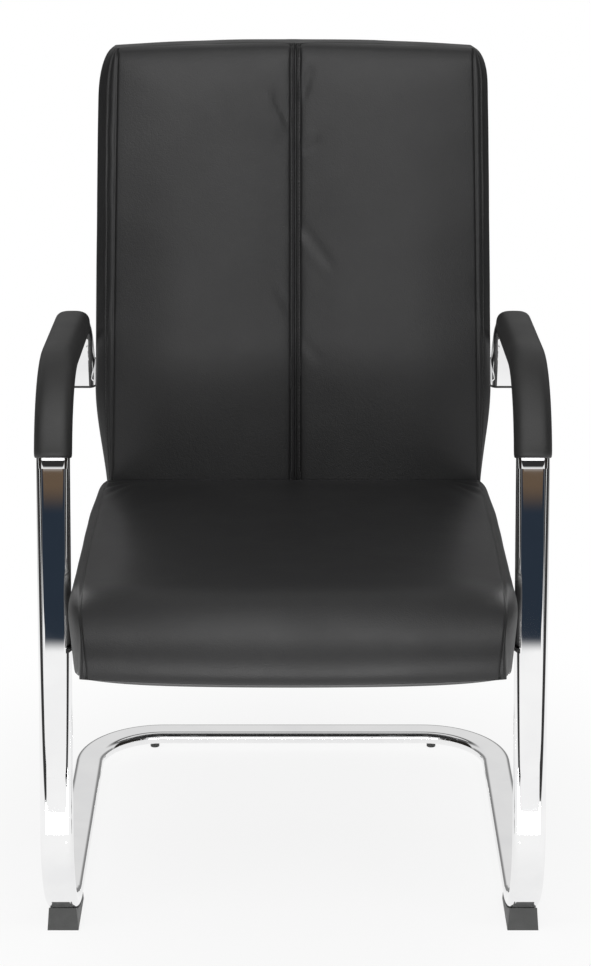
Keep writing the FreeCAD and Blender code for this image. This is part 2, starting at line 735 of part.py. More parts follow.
def bolt(name, frame, x, along, up, turn, length):
    """Bolt whose shank starts under its head and points along its axis."""
    shank = rod(f"{name}_shank", frame, x, along, up, turn, "Sizes.bolt_diameter", length)
    behind = ahead(along, up, turn, "0 - Sizes.bolt_head_height")
    head = rod(
        f"{name}_head", frame, x, behind[0], behind[1], turn,
        "Sizes.bolt_head_diameter", "Sizes.bolt_head_height",
    )
    return fuse(name, [shank, head])


def bolt_hole(name, frame, x, along, up, turn, length):
    return rod(name, frame, x, along, up, turn, "Sizes.bolt_hole", length)


def seat_fasteners():
    """Bolts up through brackets and bars into the nuts of the seat board."""
    board = "Sizes.seat_board_thickness"
    cloth = "Sizes.dust_cover_thickness"
    nuts, bolts, bar_bolts, bar_nuts = [], [], [], []
    for number, (x, run) in enumerate(bracket_bolt_spots()):
        nuts.append(tee_nut(f"seat_nut_{number}", "seat", x, run, "0", "0", board))
        stack = f"Sizes.seat_bracket_thickness + {cloth}"
        bolts.append(bolt(f"seat_bolt_{number}", "seat", x, run, f"0 - ({stack})", "0", f"{stack} + {board}"))
    node("seat_tee_nuts", group("seat_tee_nuts", nuts))
    node("seat_bolts", group("seat_bolts", bolts))
    for number, (x, run) in enumerate(bar_seat_spots()):
        bar_nuts.append(tee_nut(f"bar_seat_nut_{number}", "seat", x, run, "0", "0", board))
        stack = f"Sizes.back_bar_thickness + {cloth}"
        bar_bolts.append(
            bolt(f"bar_seat_bolt_{number}", "seat", x, run, f"0 - ({stack})", "0", f"{stack} + {board}")
        )
    for number, (x, up) in enumerate(bar_back_spots()):
        depth = "Sizes.back_board_thickness"
        bar_nuts.append(tee_nut(f"bar_back_nut_{number}", "back", x, "Sizes.board_rear", up, "-90", depth))
        rear = "Sizes.board_rear + Sizes.back_bar_thickness"
        length = f"Sizes.back_bar_thickness + {depth}"
        bar_bolts.append(bolt(f"bar_back_bolt_{number}", "back", x, rear, up, "-90", length))
    node("back_bar_tee_nuts", group("back_bar_tee_nuts", bar_nuts))
    node("back_bar_bolts", group("back_bar_bolts", bar_bolts))


def crossbar_fasteners():
    """Bolts from behind the crossbar through pad, panel and spacer into the back board."""
    nuts, bolts, spacers, pads = [], [], [], []
    depth = "Sizes.back_board_thickness"
    rear = "Sizes.back_depth + Sizes.crossbar_pad_gap + Sizes.crossbar_depth"
    for number, (x, up) in enumerate(crossbar_spots()):
        nuts.append(tee_nut(f"crossbar_nut_{number}", "back", x, "Sizes.board_rear", up, "-90", depth))
        length = f"{rear} - Sizes.back_foam_depth"
        bolts.append(bolt(f"crossbar_bolt_{number}", "back", x, rear, up, "-90", length))
        space = "Sizes.panel_front - Sizes.board_rear"
        tube = rod(
            f"spacer_outside_{number}", "back", x, "Sizes.panel_front", up, "-90",
            "Sizes.spacer_diameter", space,
        )
        bore = bolt_hole(f"spacer_bore_{number}", "back", x, "Sizes.panel_front", up, "-90", space)
        spacers.append(cut(f"crossbar_spacer_{number}", tube, [bore]))
        block = box(
            f"pad_block_{number}", "back", f"{x} - Sizes.crossbar_pad_width / 2", "Sizes.back_depth",
            f"{up} - Sizes.crossbar_rise / 2", "Sizes.crossbar_pad_width", "Sizes.crossbar_pad_gap",
            "Sizes.crossbar_rise",
        )
        hole = bolt_hole(f"pad_hole_{number}", "back", x, rear, up, "-90", "Sizes.crossbar_depth * 2")
        pads.append(cut(f"crossbar_pad_{number}", block, [hole]))
    node("crossbar_tee_nuts", group("crossbar_tee_nuts", nuts))
    node("crossbar_bolts", group("crossbar_bolts", bolts))
    node("crossbar_spacers", group("crossbar_spacers", spacers))
    node("crossbar_pads", group("crossbar_pads", pads))


def seat_bracket(side, sign):
    """Steel angle welded behind the leg's inner edge, with a flange bolted under the seat board."""
    thick = "Sizes.seat_bracket_thickness"
    run = "Sizes.bracket_middle - Sizes.seat_bracket_length / 2"
    under = f"Sizes.under_cloth - {thick}"
    bite = "Sizes.weld_bite"
    plate_x = f"Sizes.inner_edge_x - {thick}" if sign > 0 else f"0 - Sizes.inner_edge_x - {bite}"
    flange_x = "Sizes.inner_edge_x - Sizes.seat_bracket_reach" if sign > 0 else f"{thick} - Sizes.inner_edge_x"
    plate = box(
        f"{side}_bracket_plate", "seat", plate_x, "Sizes.bracket_middle", under,
        f"{thick} + {bite}", "Sizes.seat_bracket_length / 2", "Sizes.seat_bracket_rise",
    )
    flange = box(
        f"{side}_bracket_flange", "seat", flange_x, run, under,
        f"Sizes.seat_bracket_reach - {thick}", "Sizes.seat_bracket_length", thick,
    )
    holes = [
        bolt_hole(
            f"{side}_bracket_hole_{number}", "seat", x, along, f"{under} - {thick}", "0", f"3 * {thick}",
        )
        for number, (x, along) in enumerate(bracket_bolt_spots())
        if x.startswith(f"{sign} ")
    ]
    name = f"{side}_seat_bracket"
    leg = doc.getObject(f"{side}_side_outside")
    node(name, cut(name, fuse(f"{name}_angle", [plate, flange]), holes + [leg]))


def frame_point(frame, x, along, up):
    """Point of a leaning frame as numbers."""
    y0, z0, lean = (size(entry[6:]) for entry in FRAMES[frame])
    turn = math.radians(lean)
    y = y0 + along * math.cos(turn) + up * math.sin(turn)
    return Vector(x, y, z0 - along * math.sin(turn) + up * math.cos(turn))


def back_bar(side, sign):
    """Flat bar under the seat board, bent up into the hollow behind the back board."""
    x = sign * size("back_bar_spacing") / 2
    line_up, setback, run = size("bar_line"), size("bar_setback"), size("bar_corner_run")
    start = frame_point("seat", x, run - size("back_bar_reach"), line_up)
    corner = frame_point("seat", x, run, line_up)
    end = frame_point("back", x, setback, size("back_bar_rise"))
    edges = bent_path([start, corner, end], [size("back_bar_bend_radius")])
    tilt = math.radians(size("seat_tilt"))
    lift = Vector(0, math.sin(tilt), math.cos(tilt)) * (size("back_bar_thickness") / 2)
    across = Vector(size("back_bar_width") / 2, 0, 0)
    corners = [start - across - lift, start + across - lift, start + across + lift, start - across + lift]
    name = f"{side}_back_bar"
    blank = swept(f"{name}_blank", Part.makePolygon(corners + corners[:1]), edges)
    thick = "Sizes.back_bar_thickness"
    holes = [
        bolt_hole(f"{name}_seat_hole_{number}", "seat", spot, along, f"0 - 2 * {thick}", "0", f"3 * {thick}")
        for number, (spot, along) in enumerate(bar_seat_spots())
        if spot.startswith(f"{sign} ")
    ]
    holes += [
        bolt_hole(f"{name}_back_hole_{number}", "back", spot, f"Sizes.board_rear + 2 * {thick}", up, "-90",
                  f"3 * {thick}")
        for number, (spot, up) in enumerate(bar_back_spots())
        if spot.startswith(f"{sign} ")
    ]
    node(name, cut(name, blank, holes))


def on_back(x, setback, climb, shear):
    """Point of the back at a distance up its curved rear line, in the back's own frame."""
    straight, radius = size("back_straight"), size("back_curve_radius")
    climb += setback * shear
    if climb <= straight:
        return Vector(x, setback, climb)
    turn = (climb - straight) / radius
    reach = radius - setback
    return Vector(x, radius - reach * math.cos(turn), straight + reach * math.sin(turn))


def back_bulge(climb):
    """How far the boxing stands out past the front seam, less behind the seat and at the top."""
    low = min(1, 0.25 + 0.75 * max(0, climb - size("back_bulge_start")) / size("back_bulge_run"))
    into_top = max(0, climb - size("back_length") + size("back_top_round")) / size("back_top_round")
    return size("back_boxing_bulge") * low * (1 - 0.55 * into_top ** 2)


def back_section(climb, inset, rear, shear):
    """Closed back section: flat rear, bulging boxing and two crowned front panels."""
    share = min(1, max(0, climb / size("back_length")))
    front = size("back_taper") * share + inset
    edge = front + size("back_crown")
    low, top = size("back_seam_width_foot") / 2, size("back_seam_width_top") / 2
    seam = low + (top - low) * share - inset
    belly = seam + back_bulge(climb)
    rear_edge = belly - size("back_rear_tuck") * back_bulge(climb) / size("back_boxing_bulge")
    middle = (edge + size("back_depth")) / 2
    valley = front + size("centre_seam_depth")

    def spot(x, setback):
        return on_back(x, setback, climb, shear)

    return [
        line(spot(-rear_edge, rear), spot(rear_edge, rear)),
        arc(spot(rear_edge, rear), spot(belly, middle), spot(seam, edge)),
        arc(spot(seam, edge), spot(seam / 2, front), spot(0, valley)),
        arc(spot(0, valley), spot(-seam / 2, front), spot(-seam, edge)),
        arc(spot(-seam, edge), spot(-belly, middle), spot(-rear_edge, rear)),
    ]


def back_stations(first, last):
    """Heights up the back where its sections are drawn."""
    straight, length = size("back_straight"), size("back_length")
    start, run, rounding = size("back_bulge_start"), size("back_bulge_run"), size("back_top_round")
    inner = [start, start + run / 2, start + run, straight]
    inner += [straight + (length - rounding - straight) * share for share in (0.25, 0.5, 0.75, 1)]
    inner += [length - rounding * share for share in (0.5, 0.22)]
    spread = rounding / 10
    return [first] + [climb for climb in inner if first + spread < climb < last - spread] + [last]


def back_form(inset, rear, foot, top):
    """Loft of the back from its foot to its level top."""
    level = math.tan(math.radians(size("back_lean") + size("back_curve")))
    sections = []
    for climb in back_stations(foot, top):
        share = max(0, climb - size("back_straight")) / (size("back_length") - size("back_straight"))
        sections.append(back_section(climb, inset, rear, level * share))
    return closed_loft(sections)


def back_slab(front, rear, inset, foot, top):
    """Curved board across the back between two setbacks."""
    sections = []
    for climb in back_stations(foot, top):
        share = min(1, max(0, climb / size("back_length")))
        low, high = size("back_seam_width_foot") / 2, size("back_seam_width_top") / 2
        half = low + (high - low) * share - inset
        outline = ((-half, front), (half, front), (half, rear), (-half, rear))
        corners = [on_back(x, setback, climb, 0) for x, setback in outline]
        sections.append([line(a, b) for a, b in zip(corners, corners[1:] + corners[:1])])
    return closed_loft(sections, straight=True)


def back():
    """Cover, foam, board and rear panel of the back."""
    skin, gap = size("cover_thickness"), size("fit_gap")
    depth, length = size("back_depth"), size("back_length")
    margin, end = size("board_margin"), size("board_end_margin")
    foam_depth = size("back_foam_depth")
    outside = solid("back_outside", back_form(0, depth, 0, length), "back")
    hollow = solid("back_hollow", back_form(skin, depth - skin, skin, length - skin), "back")
    opening = solid("back_opening", back_slab(foam_depth, 2 * depth, margin, skin, length - end), "back")
    slots = [
        box(
            f"{side}_bar_slot", "back",
            f"{sign} * Sizes.back_bar_spacing / 2 - Sizes.back_bar_width / 2 - Sizes.bar_slot_gap",
            "Sizes.board_rear - Sizes.bar_slot_gap", "0 - Sizes.bar_foot",
            "Sizes.back_bar_width + 2 * Sizes.bar_slot_gap",
            "Sizes.back_bar_thickness + 2 * Sizes.bar_slot_gap", "2 * Sizes.bar_foot",
        )
        for side, sign in SIDES.items()
    ]
    node("back_cover", cut("back_cover", outside, [hollow, opening] + slots))
    inset = skin + gap
    core = solid("back_core", back_form(inset, depth - inset, inset, length - inset), "back")
    pocket = solid("back_pocket", back_slab(foam_depth, 2 * depth, margin, -end, length - end), "back")
    node("back_foam", cut("back_foam", core, [pocket]))
    inner = margin + gap
    board = solid(
        "back_board_blank",
        back_slab(foam_depth, size("board_rear"), inner, end, length - end - gap), "back",
    )
    wells = [
        tee_nut_well(f"back_{number}", "back", x, "Sizes.board_rear", up, "-90", "Sizes.back_board_thickness")
        for number, (x, up) in enumerate(bar_back_spots() + crossbar_spots())
    ]
    node("back_board", cut("back_board", board, wells))
    panel = solid(
        "rear_panel_blank", back_slab(size("panel_front"), depth, inner, inset, length - end - gap), "back",
    )
    reach = "2 * Sizes.back_depth"
    holes = [
        bolt_hole(f"panel_hole_{number}", "back", x, reach, up, "-90", reach)
        for number, (x, up) in enumerate(crossbar_spots())
    ]
    node("back_rear_panel", cut("back_rear_panel", panel, holes))


def check_document():
    """Stop if a step failed or a piece has no sound shape."""
    doc.recompute()
    for piece in doc.Objects:
        if "Invalid" in piece.State or "Error" in piece.State:
            raise RuntimeError(f"{piece.Name} failed: {piece.State}")
    for label, piece in nodes.items():
        if piece.Shape.isNull() or not piece.Shape.isValid() or not piece.Shape.Solids:
            raise RuntimeError(f"{label} has no sound solid")


def write_parts():
    os.makedirs("parts", exist_ok=True)
    for label, piece in nodes.items():
        piece.Shape.exportStep(f"parts/{label}.step")
        corners = piece.Shape.optimalBoundingBox(True, False)
        print(
            f"{label}: {len(piece.Shape.Solids)} solids, {piece.Shape.Volume / 1000:.1f} cm3,"
            f" X {corners.XMin:.1f} {corners.XMax:.1f} Y {corners.YMin:.1f} {corners.YMax:.1f}"
            f" Z {corners.ZMin:.1f} {corners.ZMax:.1f}"
        )


screws = []
for side, sign in SIDES.items():
    side_tube(side, sign)
    runner_sleeve(side, sign)
    tail_plug(side, sign)
    screws.append(front_foot(side, sign))
    rear_glide(side, sign)
    arm_pad(side, sign)
    seat_bracket(side, sign)
    back_bar(side, sign)
node("front_foot_screws", group("front_foot_screws", screws))
base_tube()
back_crossbar()
seat()
back()
seat_fasteners()
crossbar_fasteners()
check_document()
write_parts()
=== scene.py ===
import json
import math

import bmesh
import bpy
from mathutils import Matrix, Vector
from mathutils.bvhtree import BVHTree


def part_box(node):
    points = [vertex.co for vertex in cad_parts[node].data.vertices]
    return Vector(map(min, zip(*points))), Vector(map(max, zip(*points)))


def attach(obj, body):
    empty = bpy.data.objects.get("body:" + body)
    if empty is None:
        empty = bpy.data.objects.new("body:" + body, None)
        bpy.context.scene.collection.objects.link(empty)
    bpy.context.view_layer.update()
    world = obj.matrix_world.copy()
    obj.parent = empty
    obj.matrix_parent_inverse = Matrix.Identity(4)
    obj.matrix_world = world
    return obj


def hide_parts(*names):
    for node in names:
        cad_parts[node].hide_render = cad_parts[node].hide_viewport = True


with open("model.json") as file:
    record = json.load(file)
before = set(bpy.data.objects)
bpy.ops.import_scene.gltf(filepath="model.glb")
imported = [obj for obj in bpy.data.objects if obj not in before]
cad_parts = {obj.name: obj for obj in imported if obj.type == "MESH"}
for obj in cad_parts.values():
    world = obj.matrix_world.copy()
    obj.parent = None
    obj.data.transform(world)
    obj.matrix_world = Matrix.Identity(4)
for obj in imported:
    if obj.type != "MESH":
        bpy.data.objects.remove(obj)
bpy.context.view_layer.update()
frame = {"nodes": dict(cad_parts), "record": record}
NODES = frame["nodes"]

# Metres and radians. +Z is up, the sitter faces -Y.

# Seat cushion, in its own frame: run goes back from the front, rise goes up from the board's underside.
# A tuck draws the side boxing in again below its fullest part, the belly.
SEAT_FRONT_Y = -0.344
SEAT_FRONT_HEIGHT = 0.364
SEAT_TILT = math.radians(3.2)
SEAT_LENGTH = 0.4995
SEAT_SEAM_RISE = 0.083
SEAT_CROWN = 0.010
SEAT_CROWN_POWER = 2.6
SEAT_CROWN_START = 0.22
SEAT_SEAM_HALF = 0.2335
SEAT_SEAM_BOW = 0.0045
SEAT_FRONT_SEAM_HALF = 0.2240
SEAT_FRONT_BOW = 0.0125
SEAT_NOSE_RUN = 0.064
SEAT_NOSE_RISE = 0.027
SEAT_CHIN_RUN = 0.018
SEAT_NOSE_ARC = 0.118
SEAT_CHIN_ARC = 0.042
SEAT_CHIN_EASE = 0.4
SEAT_BEND_EASE = 0.030
SEAT_HEM_RISE = 0.009
SEAT_HEM_RUN = 0.017
SEAT_REAR_LIFT = 0.0165
SEAT_BELLY_HALF = 0.2495
SEAT_BELLY_DEEP = 0.25
SEAT_BELLY_QUICK = 2.6
SEAT_REAR_DRAW = 0.004
SEAT_FRONT_DRAW = 0.0175
SEAT_FRONT_ROUND = 0.100
SEAT_FRONT_TUCK = 0.0022
SEAT_SIDE_TUCK = 0.0090
SEAT_REAR_TUCK = 0.0050
SEAT_TUCK_START = 0.05
SEAT_TUCK_RUN = 0.06
SEAT_FOOT_DROP = 0.0005
SEAT_CORNER_LIFT = 0.006
SEAT_TOP_RUN = SEAT_LENGTH - SEAT_NOSE_RUN
SEAT_PATH = SEAT_TOP_RUN + SEAT_NOSE_ARC + SEAT_CHIN_ARC

# Back cushion, in its own frame: setback goes rearward, climb goes up the curved back
BACK_FOOT_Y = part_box("back_cover")[0].y + 0.0003
BACK_FOOT_HEIGHT = 0.350
BACK_LEAN = math.radians(6)
BACK_STRAIGHT = 0.240
BACK_LENGTH = 0.620
BACK_CURVE = math.radians(6.5)
BACK_DEPTH = 0.066
BACK_TAPER = 0.020
BACK_CROWN = 0.008
BACK_VALLEY = 0.004
BACK_SEAM_FOOT = 0.2325
BACK_SEAM_TOP = 0.219
BACK_TOP_DROP = 0.007
BACK_TOP_ROLL = 0.016
BACK_SIDE_BULGE = 0.021
BACK_BULGE_DEEP = 0.62
BACK_BULGE_END = 0.62
BACK_TUCK_SHARE = 0.12
BACK_TUCK_START = 0.035
BACK_TUCK_RUN = 0.165
BACK_TOP_ROUND = {-1: 0.075, 1: 0.050}
BACK_PANEL_SHIFT = 0.003
BACK_REAR_RECESS = 0.005
BACK_RIM_WIDTH = 0.03
BACK_RIM_FOOT = 0.012
BOXING_STRETCH = 1.35

# Padded panel that closes the back's rear
PANEL_MARGIN = 0.0045
PANEL_FOOT = 0.0025
PANEL_TOP = BACK_LENGTH - 0.0145
PANEL_LIP = 0.0008
PANEL_THICKNESS = 0.006
PANEL_PUFF = 0.0028
PANEL_PUFF_RUN = 0.03
PANEL_EDGE_DROP = 0.0034
PANEL_EDGE_RUN = 0.006
PANEL_GRID_WIDTH = 0.45
PANEL_GRID_LENGTH = 0.60

# Foam, and the swelling of the covers over it
FOAM_INSET = 0.006
BACK_FOAM_DEEP = 0.62
PUFF_PRESSURE = 4.0
PUFF_CAP = 0.006
PUFF_SLACK = 0.006
PUFF_FRAMES = 20
PUFF_EVENINGS = 6
EVENING_SHARE = 0.6
COVER_PITCH = 0.0095
FOAM_PITCH = 0.02

# Sewing
SEAM_DEPTH = 0.0020
SEAM_WIDTH = 0.0015
SEAM_GRID = (0.002, 0.004, 0.007, 0.012)
WELT_WIDTH = 0.0095
CENTRE_RIDGE = 0.0019
CENTRE_STITCH = 0.0052
STITCH_PITCH = 0.0042
STITCH_LENGTH = 0.0031
THREAD_RADIUS = 0.00048

# Arm sleeves round the side tubes
TUBE_WIDTH = 0.038
TUBE_DEPTH = 0.017
LEG_LEAN = math.radians(12.2)
ARM_SPREAD = 0.270
ARM_BEND = 0.118
ARM_SLOPE = math.radians(3.2)
ARM_HEIGHT = 0.646
ARM_WIDTH = 0.043
ARM_TOP = 0.011
ARM_UNDER = 0.003
ARM_ROUNDNESS = 0.66
PAD_FRONT_TURN = math.radians(5.5)
PAD_REAR_TURN = math.radians(4)
SLEEVE_SKIN = 0.0003
SLEEVE_SIDES = 44
SLEEVE_RINGS = 46

# Cloth under the seat board
DUST_WIDTH = 0.416
DUST_LENGTH = 0.4175
DUST_FRONT_RUN = 0.060
DUST_DROP = 0.0007
DUST_RIPPLE = 0.00012
DUST_STEPS = 40

# Lamps: place, point aimed at, width and height, and power
LAMPS = {
    "overhead_softbox": ((0, -0.9, 3.4), (0, -0.4, 0.4), (3.0, 2.0), 33),
    "high_front_softbox": ((0, -1.5, 1.95), (0, 0.2, 0.8), (3.8, 0.7), 32),
    "far_front_softbox": ((0, -3.3, 1.7), (0, 0, 0.75), (4.2, 0.6), 12.5),
    "low_front_softbox": ((0, -1.65, 0.07), (0, 0, 0.6), (1.6, 0.14), 11),
    "rear_softbox": ((0, 1.2, 2.6), (0, -0.2, 0.5), (2.4, 1.2), 6),
}

# What polished metal sees in front, upwards: the slope where each band starts and is full, and its colour
FRONT_BANDS = (
    (0.036, 0.042, (0.022, 0.032, 0.048)),
    (0.088, 0.100, (0.13, 0.09, 0.06)),
    (0.104, 0.108, (0.9, 0.9, 0.9)),
    (0.18, 0.20, (0.03, 0.03, 0.03)),
)

# Camera at the photograph's place, solved from the frame's upright tubes and feet
CAMERA_PLACE = (0, -2.9661, 1.4867)
CAMERA_DOWN = math.radians(18.63)
PICTURE_HEIGHT = 966
FOCAL_PIXELS = 2636.2
SHIFT_PIXELS = 2.5
FILM_HEIGHT = 36.0


def ease(share):
    """Smooth step from 0 to 1."""
    share = min(1, max(0, share))
    return share * share * (3 - 2 * share)


def at_start(share):
    """Whether a share lies on its first edge."""
    return share < 0.001


def at_end(share):
    """Whether a share lies on its last edge."""
    return share > 0.999


def dip(distance, width):
    """Bell of height 1 at distance 0."""
    return math.exp(-(distance / width) ** 2)


# Node trees

def add(tree, kind, inputs=None, **settings):
    """Add a node, set its properties, and give its inputs values or links."""
    made = tree.nodes.new(kind)
    for name, value in settings.items():
        setattr(made, name, value)
    for name, value in (inputs or {}).items():
        if isinstance(value, bpy.types.NodeSocket):
            tree.links.new(value, made.inputs[name])
        else:
            made.inputs[name].default_value = value
    return made


def math_node(tree, operation, first, second=0.0, clamp=False):
    made = add(tree, "ShaderNodeMath", {0: first, 1: second}, operation=operation, use_clamp=clamp)
    return made.outputs[0]


def ramp(tree, value, low, high, start=0.0, end=1.0):
    """Smoothly map a value between two limits."""
    made = add(
        tree, "ShaderNodeMapRange",
        {"Value": value, "From Min": low, "From Max": high, "To Min": start, "To Max": end},
        interpolation_type="SMOOTHSTEP",
    )
    return made.outputs["Result"]


def blend_colour(tree, share, first, second):
    made = add(tree, "ShaderNodeMix", data_type="RGBA")
    for place, value in ((0, share), (6, first), (7, second)):
        if isinstance(value, bpy.types.NodeSocket):
            tree.links.new(value, made.inputs[place])
        else:
            made.inputs[place].default_value = value
    return made.outputs[2]


def shade(red, green=None, blue=None):
    """Colour from one grey or three parts."""
    green = red if green is None else green
    blue = red if blue is None else blue
    return (red, green, blue, 1.0)


def new_group(name, inputs, outputs):
    group = bpy.data.node_groups.new(name, "ShaderNodeTree")
    for label, kind, value in inputs:
        socket = group.interface.new_socket(name=label, in_out="INPUT", socket_type=kind)
        if value is not None:
            socket.default_value = value
    for label, kind in outputs:
        group.interface.new_socket(name=label, in_out="OUTPUT", socket_type=kind)
    return group, group.nodes.new("NodeGroupInput").outputs, group.nodes.new("NodeGroupOutput").inputs


def pebble_grain_group():
    """Embossed hide: pebbles a millimetre across, wrinkles, finer pores and slow patches of tone, with a
    painted highlight that makes the pebbles' tops lighter.
    """
    group, given, out = new_group(
        "pebble_grain",
        [("Vector", "NodeSocketVector", None), ("Pebbles", "NodeSocketFloat", 750.0),
         ("Patches", "NodeSocketFloat", 9.0)],
        [("Height", "NodeSocketFloat"), ("Tone", "NodeSocketFloat")],
    )
    warp = add(group, "ShaderNodeTexNoise", {"Vector": given["Vector"], "Scale": 260.0, "Detail": 2.0})
    half = (0.5, 0.5, 0.5)
    push = add(group, "ShaderNodeVectorMath", {0: warp.outputs["Color"], 1: half}, operation="SUBTRACT")
    slide = add(group, "ShaderNodeVectorMath", {0: push.outputs[0], "Scale": 0.0022}, operation="SCALE")
    moved = add(group, "ShaderNodeVectorMath", {0: given["Vector"], 1: slide.outputs[0]}, operation="ADD")
    pebbles = add(
        group, "ShaderNodeTexVoronoi", {"Vector": moved.outputs[0], "Scale": given["Pebbles"]},
        feature="SMOOTH_F1",
    )
    pores = add(group, "ShaderNodeTexNoise", {"Vector": given["Vector"], "Scale": 2400.0, "Detail": 3.0})
    wrinkles = add(group, "ShaderNodeTexNoise", {"Vector": given["Vector"], "Scale": 260.0, "Detail": 3.0})
    patches = add(
        group, "ShaderNodeTexNoise",
        {"Vector": given["Vector"], "Scale": given["Patches"], "Detail": 4.0, "Roughness": 0.6},
    )
    domes = math_node(group, "SUBTRACT", 1.0, pebbles.outputs["Distance"])
    fine = math_node(group, "MULTIPLY", pores.outputs["Fac"], 0.35)
    coarse = math_node(group, "MULTIPLY", wrinkles.outputs["Fac"], 1.1)
    relief = math_node(group, "ADD", domes, math_node(group, "ADD", fine, coarse))
    group.links.new(relief, out["Height"])
    slow = ramp(group, patches.outputs["Fac"], 0.3, 0.7, 0.0, 0.75)
    # Painted highlight: the pebbles' tops get a lighter tone than the hollows between them
    painted_pebble_highlight = math_node(group, "MULTIPLY", domes, 0.25)
    group.links.new(math_node(group, "ADD", slow, painted_pebble_highlight, clamp=True), out["Tone"])
    return group


def handling_marks_group():
    """Faint smears and dust that vary a hard surface's gloss."""
    group, given, out = new_group(
        "handling_marks",
        [("Vector", "NodeSocketVector", None), ("Smears", "NodeSocketFloat", 14.0),
         ("Low", "NodeSocketFloat", 0.03), ("High", "NodeSocketFloat", 0.08)],
        [("Gloss", "NodeSocketFloat"), ("Height", "NodeSocketFloat"), ("Tone", "NodeSocketFloat")],
    )
    smears = add(
        group, "ShaderNodeTexNoise",
        {"Vector": given["Vector"], "Scale": given["Smears"], "Detail": 5.0, "Distortion": 0.6},
    )
    specks = add(group, "ShaderNodeTexNoise", {"Vector": given["Vector"], "Scale": 900.0, "Detail": 2.0})
    share = ramp(group, smears.outputs["Fac"], 0.35, 0.7)
    span = math_node(group, "SUBTRACT", given["High"], given["Low"])
    scaled = math_node(group, "MULTIPLY", share, span)
    group.links.new(math_node(group, "ADD", scaled, given["Low"]), out["Gloss"])
    group.links.new(specks.outputs["Fac"], out["Height"])
    group.links.new(share, out["Tone"])
    return group


PEBBLE_GRAIN = pebble_grain_group()
HANDLING_MARKS = handling_marks_group()


def new_material(name):
    material = bpy.data.materials.new(name)
    material.use_nodes = True
    tree = material.node_tree
    return material, tree, tree.nodes["Principled BSDF"]


def object_place(tree):
    return add(tree, "ShaderNodeTexCoord").outputs["Object"]


def use_group(tree, group, **inputs):
    made = tree.nodes.new("ShaderNodeGroup")
    made.node_tree = group
    for name, value in inputs.items():
        if isinstance(value, bpy.types.NodeSocket):
            tree.links.new(value, made.inputs[name])
        else:
            made.inputs[name].default_value = value
    return made.outputs


def bump(tree, surface, height, strength, distance):
    made = add(tree, "ShaderNodeBump", {"Height": height, "Strength": strength, "Distance": distance})
    tree.links.new(made.outputs["Normal"], surface.inputs["Normal"])


def leather_material(name, dark, light, gloss, grain):
    """Black coated hide, with painted shade darkening it in its seams and creases, and a painted highlight
    on its pebbles.
    """
    material, tree, surface = new_material(name)
    place = object_place(tree)
    hide = use_group(tree, PEBBLE_GRAIN, Vector=place)
    fold = add(tree, "ShaderNodeAttribute", attribute_name="fold").outputs["Fac"]
    # Painted highlight: the grain's Tone makes the pebbles' tops lighter, besides slow patches of tone
    tone = blend_colour(tree, hide["Tone"], shade(*dark), shade(*light))
    # Painted shade: the fold attribute darkens the hide towards near black in seam grooves and pucker
    # valleys
    deep = blend_colour(tree, fold, tone, shade(0.004, 0.004, 0.004))
    tree.links.new(deep, surface.inputs["Base Color"])
    rough = math_node(tree, "MULTIPLY_ADD", hide["Tone"], -0.06)
    rough.node.inputs[2].default_value = gloss + 0.04
    tree.links.new(rough, surface.inputs["Roughness"])
    surface.inputs["Specular IOR Level"].default_value = 0.45
    surface.inputs["Sheen Weight"].default_value = 0.02
    surface.inputs["Sheen Roughness"].default_value = 0.5
    bump(tree, surface, hide["Height"], grain, 0.0006)
    return material


def hard_material(name, colour, other, low, high, metallic=0.0, smears=14.0, grain=0.0):
    """Hard finish with faint handling marks."""
    material, tree, surface = new_material(name)
    marks = use_group(
        tree, HANDLING_MARKS, Vector=object_place(tree), Smears=smears, Low=low, High=high,
    )
    tone = blend_colour(tree, marks["Tone"], shade(*colour), shade(*other))
    tree.links.new(tone, surface.inputs["Base Color"])
    tree.links.new(marks["Gloss"], surface.inputs["Roughness"])
    surface.inputs["Metallic"].default_value = metallic
    if grain:
        bump(tree, surface, marks["Height"], grain, 0.0003)
    return material


def plywood_material():
    """Pale plies with long grain."""
    material, tree, surface = new_material("plywood")
    stretch = add(tree, "ShaderNodeMapping", {"Vector": object_place(tree), "Scale": (18.0, 2.0, 160.0)})
    rings = add(tree, "ShaderNodeTexNoise", {"Vector": stretch.outputs[0], "Scale": 4.0, "Detail": 6.0})
    colour = blend_colour(tree, rings.outputs["Fac"], shade(0.36, 0.22, 0.11), shade(0.62, 0.45, 0.27))
    tree.links.new(colour, surface.inputs["Base Color"])
    surface.inputs["Roughness"].default_value = 0.7
    bump(tree, surface, rings.outputs["Fac"], 0.2, 0.0005)
    return material


def foam_material():
    """Open-cell foam."""
    material, tree, surface = new_material("seat_foam")
    cells = add(tree, "ShaderNodeTexVoronoi", {"Vector": object_place(tree), "Scale": 700.0})
    dark, light = shade(0.7, 0.62, 0.36), shade(0.82, 0.76, 0.55)
    tree.links.new(blend_colour(tree, cells.outputs["Distance"], dark, light), surface.inputs["Base Color"])
    surface.inputs["Roughness"].default_value = 0.95
    bump(tree, surface, cells.outputs["Distance"], 0.5, 0.0006)
    return material


def dust_cloth_material():
    """Thin black spun cloth, with bonded dimples."""
    material, tree, surface = new_material("dust_cloth")
    place = object_place(tree)
    dimples = add(tree, "ShaderNodeTexVoronoi", {"Vector": place, "Scale": 480.0, "Randomness": 0.15})
    threads = add(tree, "ShaderNodeTexNoise", {"Vector": place, "Scale": 1500.0, "Detail": 4.0})
    dark, light = shade(0.008, 0.008, 0.009), shade(0.03, 0.03, 0.032)
    tree.links.new(blend_colour(tree, threads.outputs["Fac"], dark, light), surface.inputs["Base Color"])
    surface.inputs["Roughness"].default_value = 0.9
    bump(tree, surface, dimples.outputs["Distance"], 0.6, 0.0004)
    return material


